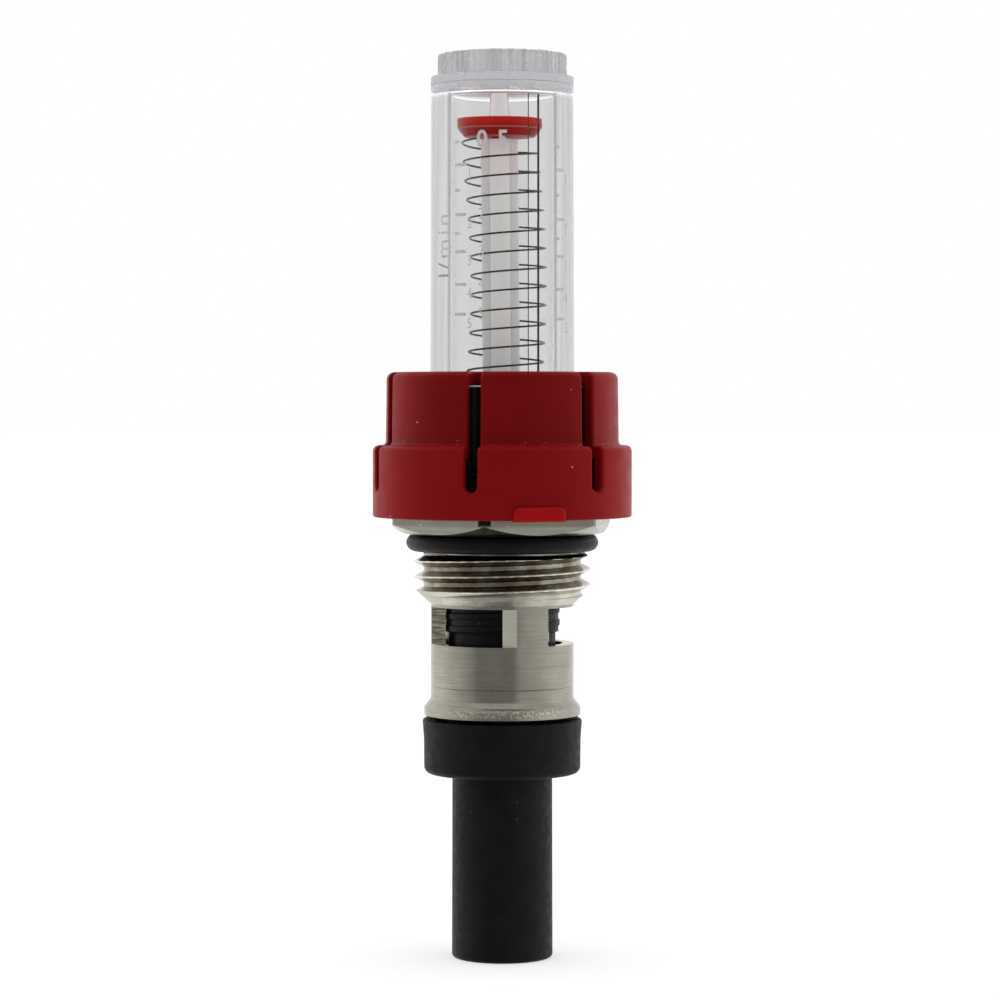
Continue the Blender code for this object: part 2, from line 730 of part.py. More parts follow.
def make_indicator_tip():
    shoulder = DISC_TOP + 0.2 * MM
    pin_bottom = 44.9 * MM
    profile = [
        (0.0, TIP_TOP),
        (0.9 * MM, TIP_TOP),
        (1.08 * MM, TIP_TOP - 0.18 * MM),
        (TIP_R, shoulder),
        (PIN_R, shoulder),
        (PIN_R, pin_bottom),
        (0.0, pin_bottom),
    ]
    return turned("indicator_tip", profile, PINK_CLEAR, SMALL_STEPS)


def make_indicator_disc():
    profile = [
        (DISC_R - 0.1 * MM, DISC_TOP),
        (DISC_R, DISC_TOP - 0.1 * MM),
        (DISC_R, DISC_RIM_BOTTOM + 0.1 * MM),
        (DISC_R - 0.1 * MM, DISC_RIM_BOTTOM),
        (4.2 * MM, DISC_RIM_BOTTOM),
        (3.9 * MM, DISC_BOTTOM),
        (PIN_HOLE_R, DISC_BOTTOM),
        (PIN_HOLE_R, DISC_TOP),
    ]
    return turned("indicator_disc", profile, RED_DISC, SMALL_STEPS)


def make_baffle_disc():
    inner = STEM_ROD_R + 0.1 * MM
    profile = [
        (BAFFLE_R - 0.15 * MM, BAFFLE_TOP),
        (BAFFLE_R, BAFFLE_TOP - 0.15 * MM),
        (BAFFLE_R, BAFFLE_BOTTOM),
        (inner, BAFFLE_BOTTOM),
        (inner, BAFFLE_TOP),
    ]
    return turned("baffle_disc", profile, WHITE_PLASTIC, SMALL_STEPS)


# ---------------------------------------------------------------- lock cap


def slot_outline():
    """One cap slot seen from outside, as width and height, with a round foot."""
    half = CAP_SLOT_WIDTH / 2
    foot = arc(0.0, CAP_SLOT_BOTTOM + half, half, -180, 0, 6)
    return foot + [(half, CAP_TOP + GAP), (-half, CAP_TOP + GAP)]


def make_cap_slots():
    """One cutter for all the slots: an upright plate for each, facing out along its bearing."""
    outer = CAP_LOWER_R + 1.0 * MM
    plate = outline_solid("cap_slots", slot_outline(), CAP_SLOT_INNER_R, outer)
    mid_reach = plate.location.z
    plate.location.z = 0.0
    flat = [vertex.co.copy() for vertex in plate.data.vertices]
    faces = [tuple(face.vertices) for face in plate.data.polygons]
    points = []
    rings = []
    for i in range(CAP_SLOTS):
        turn = Matrix.Rotation(math.radians(CAP_SLOT_BEARING + 360.0 * i / CAP_SLOTS), 3, "Z")
        rings += [tuple(index + len(points) for index in face) for face in faces]
        points += [turn @ Vector((at.x, -at.z - mid_reach, at.y)) for at in flat]
    plate.data.clear_geometry()
    plate.data.from_pydata(points, [], rings)
    return plate


def make_lock_cap():
    crown = 0.9 * MM
    shoulder = 0.7 * MM
    fillet = 0.5 * MM
    profile = [
        *arc(CAP_UPPER_TOP_R - crown, CAP_TOP - crown, crown, 90, 0),
        *arc(CAP_UPPER_FOOT_R + fillet, CAP_STEP_Z + fillet, fillet, 180, 270, 2),
        *arc(CAP_LOWER_R - shoulder, CAP_STEP_Z - shoulder, shoulder, 90, 0),
        (CAP_LOWER_R, CAP_BOTTOM + 0.15 * MM),
        (CAP_LOWER_R - 0.15 * MM, CAP_BOTTOM),
        (CAP_LOWER_BORE_R, CAP_BOTTOM),
        (CAP_LOWER_BORE_R, CAP_LOWER_CEILING),
        (CAP_UPPER_BORE_R, CAP_LOWER_CEILING),
        (CAP_UPPER_BORE_R, CAP_CEILING),
        (CAP_HOLE_R, CAP_CEILING),
        (CAP_HOLE_R, CAP_TOP - 0.2 * MM),
        (CAP_HOLE_R + 0.2 * MM, CAP_TOP),
    ]
    cap = turned("lock_cap", profile, RED_CAP, CAP_STEPS)
    boolean(cap, make_cap_slots())
    root_r = CAP_LOWER_BORE_R + 0.5 * MM
    tip_r = CAP_LOWER_R + TAB_REACH
    tab = block("lift_tab", (TAB_WIDTH, tip_r - root_r, TAB_TOP - TAB_BOTTOM),
                ((tip_r + root_r) / 2, (TAB_TOP + TAB_BOTTOM) / 2), TAB_BEARING)
    rounding = tab.modifiers.new("rounding", "BEVEL")
    rounding.width = 0.45 * MM
    rounding.segments = 2
    boolean(cap, tab, "UNION")
    return cap


# ---------------------------------------------------------------- assembly


def body_empty(name, parent=None):
    """An empty on the axis that carries the pieces of one body."""
    made = bpy.data.objects.new(name, None)
    made.empty_display_size = 5 * MM
    PARTS.objects.link(made)
    made.parent = parent
    return made


def assemble():
    groups = {
        "body_assembly": [
            make_valve_body(),
            o_ring("body_o_ring", BODY_RING, LARGE_STEPS),
            make_outlet_tube(),
            o_ring("tube_o_ring", TUBE_RING),
            make_stop_ring(),
            split_ring("retaining_ring", 8.15 * MM, 9.3 * MM, 3.7 * MM, 4.5 * MM, 3.0 * MM, 180.0, STEEL),
        ],
        "handwheel_assembly": [
            make_handwheel(),
            make_sight_glass(),
            make_glass_gasket(),
            make_scale_sleeve(),
            make_end_plug(),
            make_spring_seat(),
            make_spring(),
        ],
        "spindle_assembly": [
            make_spindle(),
            o_ring("spindle_o_ring_upper", SPINDLE_RING_UPPER),
            o_ring("spindle_o_ring_lower", SPINDLE_RING_LOWER),
            make_seat_seal(),
            split_ring("seal_clip", 3.0 * MM, 4.05 * MM, -16.9 * MM, -16.4 * MM, 1.6 * MM, 0.0, STEEL),
        ],
        "float_assembly": [
            make_indicator_rod(),
            make_indicator_tip(),
            make_indicator_disc(),
            make_baffle_disc(),
            split_ring("baffle_clip", 1.0 * MM, 2.1 * MM, BAFFLE_BOTTOM - 0.65 * MM,
                       BAFFLE_BOTTOM - 0.25 * MM, 0.9 * MM, 0.0, STEEL),
        ],
        "cap_assembly": [make_lock_cap()],
    }
    carried_by = {"spindle_assembly": "handwheel_assembly", "float_assembly": "handwheel_assembly"}
    base = body_empty("flow_meter_valve_base")
    base.location.z = SHOULDER_Z
    empties = {}
    for name, pieces in groups.items():
        empties[name] = body_empty(name, empties.get(carried_by.get(name), base))
        for piece in pieces:
            piece.parent = empties[name]
            if piece.type == "MESH":
                piece.data.set_sharp_from_angle(angle=math.radians(35))
    for cutter in CUTTERS.objects:
        cutter.parent = base


assemble()
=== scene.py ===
"""Looks of a flow meter valve insert: sight glass with a sprung float, handwheel, lock cap and valve body.

Shapes are worked out in millimetres, with heights counted from the sealing shoulder under the hex. new_piece
turns them into metres in the frame. A bearing is an angle about +Z from -Y towards +X.
"""

import math

import bmesh
import bpy
import numpy as np
from mathutils import Matrix, Vector, noise


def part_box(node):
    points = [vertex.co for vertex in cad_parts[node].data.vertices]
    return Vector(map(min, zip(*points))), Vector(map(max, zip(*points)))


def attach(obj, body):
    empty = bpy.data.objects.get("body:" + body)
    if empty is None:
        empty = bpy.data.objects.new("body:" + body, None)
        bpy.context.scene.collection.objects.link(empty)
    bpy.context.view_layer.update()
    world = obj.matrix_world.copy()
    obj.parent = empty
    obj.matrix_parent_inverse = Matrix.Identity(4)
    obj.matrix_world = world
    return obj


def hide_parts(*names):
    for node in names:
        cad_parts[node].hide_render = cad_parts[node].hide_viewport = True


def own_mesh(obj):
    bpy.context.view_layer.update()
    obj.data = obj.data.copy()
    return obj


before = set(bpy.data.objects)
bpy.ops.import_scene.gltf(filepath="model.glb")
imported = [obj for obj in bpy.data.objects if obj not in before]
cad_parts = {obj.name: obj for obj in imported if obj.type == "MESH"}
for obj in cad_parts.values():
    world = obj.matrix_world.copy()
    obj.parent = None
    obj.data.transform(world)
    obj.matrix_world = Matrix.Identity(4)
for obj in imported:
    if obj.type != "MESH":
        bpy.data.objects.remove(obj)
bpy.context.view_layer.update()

MM = 0.001


def top_of(node):
    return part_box(node)[1].z / MM


def bottom_of(node):
    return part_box(node)[0].z / MM


def radius_of(node):
    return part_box(node)[1].x / MM


# ---------------------------------------------------------------- sizes

HEX_TOP = 6.8
SHOULDER = top_of("valve_body") - HEX_TOP
HEX_FLATS = 24.0
HEX_BEARING = -8.8

GLASS_TOP = top_of("sight_glass") - SHOULDER
GLASS_BOTTOM = bottom_of("sight_glass") - SHOULDER
GLASS_FOOT_R = radius_of("sight_glass")
GLASS_TOP_R = GLASS_FOOT_R - 0.145
GLASS_BORE_R = 6.45
SLEEVE_TOP = top_of("scale_sleeve") - SHOULDER
SLEEVE_BOTTOM = bottom_of("scale_sleeve") - SHOULDER
SLEEVE_R = 6.3
SLEEVE_BORE_R = 6.0
SLIT_BEARING = 32.5
SLIT_WIDTH = 1.3

THREAD_R = 10.4775
THREAD_PITCH = 1.814
THREAD_DEPTH = 1.162
THREAD_TOP = -2.3
THREAD_CONE_TOP = -6.45
STEM_R = 8.45
STEM_TOP = -8.3
CREST_AT_FRONT = -4.67

FLANGE_R = 9.25
FLANGE_BOTTOM = -21.65

WINDOW_TOP = -8.6
WINDOW_BOTTOM = -13.0
WINDOW_BEARING = -34.7
WINDOW_FLAT = 5.82
WINDOWS = 3

CUP_TOP = top_of("outlet_tube") - SHOULDER
CUP_BOTTOM = -28.4
TUBE_BOTTOM = -SHOULDER

CAP_TOP = top_of("lock_cap") - SHOULDER
CAP_BOTTOM = bottom_of("lock_cap") - SHOULDER + 0.15
CAP_HOLE_R = 8.8
CAP_UPPER_TOP_R = 13.65
CAP_UPPER_FOOT_R = 13.75
CAP_STEP = 10.4
CAP_LOWER_R = 15.3
CAP_WALL = 1.25
CAP_CEILING = CAP_TOP - 1.4
CAP_SLOTS = 6
CAP_SLOT_BEARING = -14.0
CAP_SLOT_WIDTH = 1.6
CAP_SLOT_FOOT = 5.1
CAP_SLOT_INNER_R = 9.9
CAP_LIP = 0.35
CAP_EDGE = CAP_SLOT_WIDTH / 2 + CAP_LIP
TAB_BEARING = 16.0

WHEEL_TOP = 17.4
WHEEL_R = 12.1

PLUG_TOP = top_of("end_plug") - SHOULDER
PLUG_FLANGE_TOP = 53.7
PLUG_FOOT = 51.95

SPINDLE_R = 6.8

DISC_TOP = top_of("indicator_disc") - SHOULDER
DISC_LINE = 47.53
DISC_BOTTOM = 46.6
TIP_TOP = top_of("indicator_tip") - SHOULDER
ROD_R = 2.2
SPRING_BOTTOM = 13.05
SPRING_TOP = top_of("indicator_rod") - SHOULDER
SPRING_R = 4.43
SPRING_WIRE_R = 0.116
FLOAT_LEAN = 0.34
LEANING = ("indicator_rod", "indicator_tip", "indicator_disc")

ROUND = 192
FINE_ROUND = 256
SMALL_ROUND = 96


# ---------------------------------------------------------------- shape tools


class Shell:
    """Points and faces gathered grid by grid, sewn together where grids meet."""

    def __init__(self):
        self.points = []
        self.faces = []

    def grid(self, rows, closed=False):
        """Adds a grid of points, shape (rows, columns, 3). closed joins the last column to the first."""
        rows = np.asarray(rows, float)
        count, wide = rows.shape[:2]
        start = len(self.points)
        self.points.extend(rows.reshape(-1, 3).tolist())
        for i in range(count - 1):
            for j in range(wide if closed else wide - 1):
                right = (j + 1) % wide
                low = start + i * wide
                high = low + wide
                self.faces.append((low + j, low + right, high + right, high + j))

    def cover(self, outline):
        """Adds one face across an outline."""
        start = len(self.points)
        self.points.extend(np.asarray(outline, float).tolist())
        self.faces.append(tuple(range(start, len(self.points))))

    def tube(self, rows):
        """Adds a closed tube along rows of points that stand round it, with a flat end at each end."""
        self.grid([*rows, rows[0]])
        self.cover([row[0] for row in rows])
        self.cover([row[-1] for row in rows])

    def mesh(self, name, weld=0.0004):
        made = bpy.data.meshes.new(name)
        made.from_pydata(self.points, [], self.faces)
        sewn = bmesh.new()
        sewn.from_mesh(made)
        bmesh.ops.remove_doubles(sewn, verts=sewn.verts, dist=weld)
        bmesh.ops.dissolve_degenerate(sewn, edges=sewn.edges, dist=weld / 4)
        bmesh.ops.recalc_face_normals(sewn, faces=sewn.faces)
        sewn.to_mesh(made)
        sewn.free()
        return made


def rounded(corners, closed=True, steps=4):
    """A profile with its corners rounded. A corner is (radius, height) or (radius, height, rounding)."""
    points = []
    count = len(corners)
    for i, corner in enumerate(corners):
        here = Vector(corner[:2])
        fillet = corner[2] if len(corner) > 2 else 0.0
        if fillet == 0.0 or (not closed and i in (0, count - 1)):
            points.append(tuple(here))
            continue
        back = Vector(corners[i - 1][:2]) - here
        ahead = Vector(corners[(i + 1) % count][:2]) - here
        half = back.angle(ahead) / 2
        cut = min(fillet / math.tan(half), 0.48 * back.length, 0.48 * ahead.length)
        radius = cut * math.tan(half)
        centre = here + (back.normalized() + ahead.normalized()).normalized() * radius / math.sin(half)
        first = here + back.normalized() * cut - centre
        last = here + ahead.normalized() * cut - centre
        start = math.atan2(first.y, first.x)
        turn = math.atan2(last.y, last.x) - start
        turn = (turn + math.pi) % (2 * math.pi) - math.pi
        for k in range(steps + 1):
            angle = start + turn * k / steps
            points.append((centre.x + radius * math.cos(angle), centre.y + radius * math.sin(angle)))
    return points


def bearings(steps, start=0.0, end=2 * math.pi):
    closed = abs(end - start - 2 * math.pi) < 1e-9
    return start + (end - start) * np.arange(steps + (0 if closed else 1)) / steps


def around(radius, height, bearing):
    """Points at a radius and height for each bearing. Radius and height may vary with the bearing."""
    radius = np.broadcast_to(radius, bearing.shape)
    height = np.broadcast_to(height, bearing.shape)
    return np.stack([radius * np.sin(bearing), -radius * np.cos(bearing), height], axis=1)


def lathe(name, profile, steps=ROUND, closed=True):
    """A turned mesh. A profile row's radius and height are numbers or functions of the bearing."""
    bearing = bearings(steps)
    rows = []
    for radius, height in profile:
        radius = radius(bearing) if callable(radius) else radius
        height = height(bearing) if callable(height) else height
        rows.append(around(radius, height, bearing))
    if closed:
        rows.append(rows[0])
    shell = Shell()
    shell.grid(rows, closed=True)
    return shell.mesh(name)


def split_lathe(name, profile, start, end, steps):
    """A turned mesh over part of a turn, in degrees, with flat ends."""
    bearing = bearings(steps, math.radians(start), math.radians(end))
    shell = Shell()
    shell.tube([around(radius, height, bearing) for radius, height in profile])
    return shell.mesh(name)


def smooth(mesh, sharp=32.0):
    mesh.shade_smooth()
    mesh.set_sharp_from_angle(angle=math.radians(sharp))


def new_piece(name, mesh, surface, body, slot, *nodes, sharp=32.0):
    """Places a mesh made in millimetres from the shoulder, and sets it under its body's empty in place of the
    given nodes.
    """
    mesh.transform(Matrix.Translation((0, 0, SHOULDER)))
    mesh.transform(Matrix.Scale(MM, 4))
    smooth(mesh, sharp)
    mesh.materials.clear()
    mesh.materials.append(surface)
    made = bpy.data.objects.new(name, mesh)
    bpy.context.scene.collection.objects.link(made)
    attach(made, body)
    if nodes:
        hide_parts(*nodes)
    # Long walls keep their own normals right up to the narrow faces of a rounded edge.
    flat_walls = made.modifiers.new("flat_walls", "WEIGHTED_NORMAL")
    flat_walls.weight = 100
    flat_walls.keep_sharp = True
    return made


def turned(node, profile, surface, body, slot, steps=ROUND, closed=True, sharp=32.0):
    """Turns a profile and puts the piece in place of one node."""
    mesh = lathe(node + "_mesh", profile, steps, closed)
    if node in LEANING:
        leaned(mesh)
    return new_piece(node + "_visual", mesh, surface, body, slot, node, sharp=sharp)


def lean(points):
    """The float and its spring stand a little to one side of the axis, more so higher up."""
    points[:, 0] -= FLOAT_LEAN * np.maximum(points[:, 2], 0.0) / DISC_TOP


def leaned(mesh):
    points = np.empty(len(mesh.vertices) * 3)
    mesh.vertices.foreach_get("co", points)
    points = points.reshape(-1, 3)
    lean(points)
    mesh.vertices.foreach_set("co", points.ravel())
    return mesh


def cut(mesh, cutter, operation="DIFFERENCE"):
    """The mesh after a Boolean with another mesh."""
    objects = []
    for part in (mesh, cutter):
        holder = bpy.data.objects.new(part.name + "_holder", part)
        bpy.context.scene.collection.objects.link(holder)
        objects.append(holder)
    step = objects[0].modifiers.new("cut", "BOOLEAN")
    step.operation = operation
    step.solver = "MANIFOLD"
    step.object = objects[1]
    bpy.context.view_layer.update()
    graph = bpy.context.evaluated_depsgraph_get()
    made = bpy.data.meshes.new_from_object(objects[0].evaluated_get(graph), depsgraph=graph)
    for holder in objects:
        bpy.data.objects.remove(holder, do_unlink=True)
    if len(made.polygons) == 0:
        raise RuntimeError(f"the cut of {mesh.name} left nothing")
    return made


def block(name, inner, outer, bottom, top, width, bearing):
    """A box that reaches from one distance from the axis to another along a bearing, in degrees."""
    turn = math.radians(bearing)
    corners = [(-width / 2, -inner), (width / 2, -inner), (width / 2, -outer), (-width / 2, -outer)]
    turned = [(x * math.cos(turn) - y * math.sin(turn), x * math.sin(turn) + y * math.cos(turn))
              for x, y in corners]
    low = [(x, y, bottom) for x, y in turned]
    high = [(x, y, top) for x, y in turned]
    shell = Shell()
    shell.grid([low, high], closed=True)
    shell.cover(low)
    shell.cover(high)
    return shell.mesh(name)


def hexagon(across_flats, bearing=0.0):
    """The radius of a hexagon as a function of the bearing. A corner faces the given bearing."""
    offset = math.radians(bearing + 30)

    def radius(angle):
        part = (angle - offset + math.pi / 6) % (math.pi / 3) - math.pi / 6
        return across_flats / 2 / np.cos(part)

    return radius


def ripple(x, y, z, size, seed=0.0):
    """Smooth noise between -1 and 1 at each point, with features about size across."""
    values = [noise.noise(Vector((px / size + seed, py / size, pz / size))) for px, py, pz in zip(x, y, z)]
    return np.array(values)


# ---------------------------------------------------------------- material tools


class Nodes:
    """A node tree, and short ways to add nodes to it."""

    def __init__(self, tree):
        self.tree = tree

    def add(self, kind, settings=None, **inputs):
        node = self.tree.nodes.new("ShaderNode" + kind)
        for key, value in (settings or {}).items():
            setattr(node, key, value)
        for key, value in inputs.items():
            self.feed(node.inputs[key.replace("_", " ")], value)
        return node

    def feed(self, socket, value):
        if isinstance(value, bpy.types.NodeSocket):
            self.tree.links.new(value, socket)
        elif isinstance(value, tuple) and len(value) == 3 and socket.type == "RGBA":
            socket.default_value = (*value, 1.0)
        else:
            socket.default_value = value

    def remap(self, value, low, high, out_low=0.0, out_high=1.0):
        """A smooth step of a value between two levels."""
        made = self.add("MapRange", {"interpolation_type": "SMOOTHSTEP", "clamp": True})
        for key, item in zip(("Value", "From Min", "From Max", "To Min", "To Max"),
                             (value, low, high, out_low, out_high)):
            self.feed(made.inputs[key], item)
        return made.outputs["Result"]

    def spread(self, noise, out_low=0.0, out_high=1.0):
        """Stretches the middle of a noise over a whole range."""
        return self.remap(noise, 0.3, 0.7, out_low, out_high)

    def maths(self, operation, a, b=0.0):
        made = self.add("Math", {"operation": operation})
        self.feed(made.inputs[0], a)
        self.feed(made.inputs[1], b)
        return made.outputs["Value"]

    def product(self, first, *others):
        for other in others:
            first = self.maths("MULTIPLY", first, other)
        return first

    def band(self, value, low, low_full, high_full, high):
        """1 between two levels of a value, fading to 0 past each of them."""
        return self.product(self.remap(value, low, low_full), self.remap(value, high, high_full))

    def mix(self, share, a, b):
        made = self.add("Mix", {"data_type": "RGBA"})
        self.feed(made.inputs["Factor"], share)
        self.feed(made.inputs[6], a)
        self.feed(made.inputs[7], b)
        return made.outputs[2]

    def blend(self, share, a, b):
        """As mix, for plain numbers."""
        made = self.add("Mix", {"data_type": "FLOAT"}, Factor=share, A=a, B=b)
        return made.outputs["Result"]


class Surface(Nodes):
    """A material with a Principled shader."""

    def __init__(self, name, roughness=0.5, metallic=0.0):
        self.material = bpy.data.materials.new(name)
        self.material.use_nodes = True
        super().__init__(self.material.node_tree)
        self.shader = self.tree.nodes["Principled BSDF"]
        self.shader.inputs["Roughness"].default_value = roughness
        self.shader.inputs["Metallic"].default_value = metallic
        self.place = self.add("TexCoord").outputs["Object"]

    def set(self, **inputs):
        for key, value in inputs.items():
            self.feed(self.shader.inputs[key.replace("_", " ")], value)

    def millimetres(self, x, y, z):
        """Object coordinates in millimetres, stretched along each axis."""
        mapping = self.add("Mapping", Vector=self.place, Scale=(x / MM, y / MM, z / MM))
        return mapping.outputs["Vector"]

    def noise(self, scale, detail=3.0, stretch=(1.0, 1.0, 1.0), roughness=0.5):
        made = self.add("TexNoise", Vector=self.millimetres(*stretch), Scale=scale, Detail=detail,
                        Roughness=roughness)
        return made.outputs["Fac"]

    def specks(self, scale, size, share):
        """A mask of small round specks: about this share of the cells holds one."""
        cells = self.add("TexVoronoi", Vector=self.millimetres(1.0, 1.0, 1.0), Scale=scale).outputs
        chance = self.add("SeparateColor", Color=cells["Color"]).outputs["Red"]
        lone = self.remap(chance, 1 - share - 0.01, 1 - share)
        return self.product(lone, self.remap(cells["Distance"], size, size * 0.6))

    def pass_rays(self, which, tint):
        """Lets the chosen kinds of ray straight through, tinted."""
        through = self.add("BsdfTransparent", Color=tint)
        swap = self.add("MixShader")
        self.feed(swap.inputs[0], which)
        self.feed(swap.inputs[1], self.shader.outputs["BSDF"])
        self.feed(swap.inputs[2], through.outputs["BSDF"])
        self.feed(self.tree.nodes["Material Output"].inputs["Surface"], swap.outputs["Shader"])

    def facing(self):
        """0 where the surface faces the eye, 1 where it is seen edge on."""
        return self.add("LayerWeight", Blend=0.5).outputs["Facing"]

    def across(self):
        """Distance to the right of the axis in millimetres, seen from the front."""
        return self.maths("DIVIDE", self.add("SeparateXYZ", Vector=self.place).outputs["X"], MM)

    def height(self):
        """Height over the shoulder in millimetres."""
        z = self.add("SeparateXYZ", Vector=self.place).outputs["Z"]
        return self.maths("SUBTRACT", self.maths("DIVIDE", z, MM), SHOULDER)

    def radius(self):
        """Distance from the axis in millimetres."""
        parts = self.add("SeparateXYZ", Vector=self.place)
        flat = self.add("CombineXYZ", X=parts.outputs["X"], Y=parts.outputs["Y"])
        length = self.add("VectorMath", {"operation": "LENGTH"})
        self.feed(length.inputs[0], flat.outputs["Vector"])
        return self.maths("DIVIDE", length.outputs["Value"], MM)

    def bump(self, *layers):
        """Layers are (height socket, depth in millimetres)."""
        normal = None
        for value, depth in layers:
            node = self.add("Bump", Height=value, Distance=depth * MM, Strength=1.0)
            if normal:
                self.feed(node.inputs["Normal"], normal)
            normal = node.outputs["Normal"]
        self.feed(self.shader.inputs["Normal"], normal)


# ---------------------------------------------------------------- materials


def worn_hex(s, plate):
    """Painted shade on the hex flats, which stand under the cap, with pale specks on them painted as glints.
    """
    flat_r = HEX_FLATS / 2
    flats = s.product(s.remap(s.height(), 0.9, 1.3), s.remap(s.radius(), flat_r - 0.1, flat_r))
    # Painted shade: the flats are made darker.
    plate = s.mix(s.product(flats, 0.75), plate, (0.19, 0.18, 0.14))
    # Painted highlights: pale glint specks on the flats.
    glints = s.product(flats, s.specks(1.5, 0.16, 0.30))
    return s.mix(s.product(glints, 0.7), plate, (0.85, 0.82, 0.72))


def cut_windows(s, plate):
    """Pale cut faces in the windows. Those on the left are darker along the tool marks."""
    low, high = WINDOW_BOTTOM, WINDOW_TOP
    beside = s.band(s.height(), low - 0.05, low + 0.05, high - 0.05, high + 0.05)
    inside = s.product(beside, s.remap(s.radius(), STEM_R - 0.03, STEM_R - 0.07))
    tool_marks = s.remap(s.noise(1.0, 4.0, (0.3, 0.3, 3.2), 0.65), 0.35, 0.62, 0.25, 1.0)
    plate = s.mix(s.product(inside, 0.5), plate, (0.52, 0.51, 0.43))
    darker_left_side = s.product(s.remap(s.across(), -5.2, -6.4), inside)
    return s.mix(s.product(darker_left_side, tool_marks), plate, (0.10, 0.093, 0.062))


def used_thread(s, plate):
    """Painted shade in the thread's roots, brown and patchy, and painted highlights on the crests."""
    thread = s.band(s.height(), STEM_TOP + 0.4, STEM_TOP + 1.1, THREAD_TOP + 0.1, THREAD_TOP + 0.7)
    crest_r = 10.38
    root_r = 9.55
    root = s.remap(s.radius(), crest_r - 0.03, root_r, 0.05, 1.0)
    root_shade = s.product(thread, root, s.remap(s.noise(0.35, 3.0), 0.30, 0.60))
    # Painted shade: the roots are made a patchy dark brown.
    plate = s.mix(s.product(root_shade, 0.75), plate, (0.15, 0.10, 0.055))
    # Painted highlight: the crests are made pale.
    crest = s.product(thread, s.remap(s.radius(), crest_r - 0.16, crest_r))
    return s.mix(s.product(crest, 0.85), plate, (0.80, 0.76, 0.68))


def nickel_surface():
    """Nickel-plated brass with turning marks and pits, and its own marks in each zone: painted shade and
    glints on the hex flats, pale cut faces in the windows, painted shade in the thread's roots and highlights
    on its crests, a paler run-out, dirt, and a painted pink sparkle on the front of the flange.
    """
    s = Surface("nickel_plate", metallic=1.0)
    turning = s.noise(1.0, 4.0, (0.14, 0.14, 7.0), 0.65)
    fine = s.noise(1.0, 2.0, (0.2, 0.2, 40.0), 0.6)
    blotch = s.noise(0.35, 3.0)
    grit = s.noise(3.5, 3.0)
    pits = s.specks(3.0, 0.14, 0.05)
    plate = s.mix(s.spread(blotch), (0.36, 0.35, 0.295), (0.31, 0.30, 0.25))
    plate = s.mix(s.remap(turning, 0.46, 0.66, 0.0, 0.5), plate, (0.21, 0.20, 0.17))
    plate = used_thread(s, cut_windows(s, worn_hex(s, plate)))
    run_out = s.band(s.height(), STEM_TOP - 0.05, STEM_TOP + 0.05, THREAD_CONE_TOP - 0.45,
                     THREAD_CONE_TOP + 0.15)
    plate = s.mix(s.product(run_out, s.remap(blotch, 0.35, 0.6, 0.5, 0.9)), plate, (0.66, 0.63, 0.55))
    dirt = s.product(s.specks(2.2, 0.13, 0.09), s.remap(s.noise(0.7, 2.0), 0.45, 0.6))
    plate = s.mix(s.product(dirt, 0.8), plate, (0.05, 0.04, 0.03))
    front = s.remap(s.maths("ABSOLUTE", s.across()), 7.6, 4.5, 0.15, 1.0)
    flange = s.product(s.band(s.height(), FLANGE_BOTTOM + 0.35, FLANGE_BOTTOM + 0.65, FLANGE_BOTTOM + 1.25,
                              FLANGE_BOTTOM + 1.65), front)
    # Painted highlight: a pale pink sparkle on the middle of the flange as seen from the front.
    flange_sparkle = s.product(flange, s.remap(grit, 0.48, 0.62))
    plate = s.mix(s.product(flange_sparkle, 0.8), plate, (0.70, 0.58, 0.52))
    s.set(Base_Color=plate)
    rough = s.maths("ADD", s.remap(blotch, 0.25, 0.75, 0.13, 0.19), s.product(flange, 0.20))
    s.set(Roughness=s.maths("ADD", rough, s.product(run_out, 0.18)))
    gritty = s.product(s.maths("ADD", flange, s.product(run_out, 0.4)), grit)
    s.bump((turning, 0.012), (fine, 0.002), (pits, -0.03), (gritty, 0.10))
    return s.material


def steel_surface(name, colour):
    """Drawn spring steel: fine lengthwise streaks and a little tarnish."""
    s = Surface(name, metallic=1.0)
    tarnish = s.noise(1.5, 3.0)
    streak = s.noise(6.0, 3.0, (1.0, 1.0, 0.3))
    dark = tuple(0.45 * c for c in colour)
    s.set(Base_Color=s.mix(s.remap(tarnish, 0.35, 0.7), colour, dark))
    s.set(Roughness=s.spread(streak, 0.24, 0.46))
    s.bump((streak, 0.004))
    return s.material


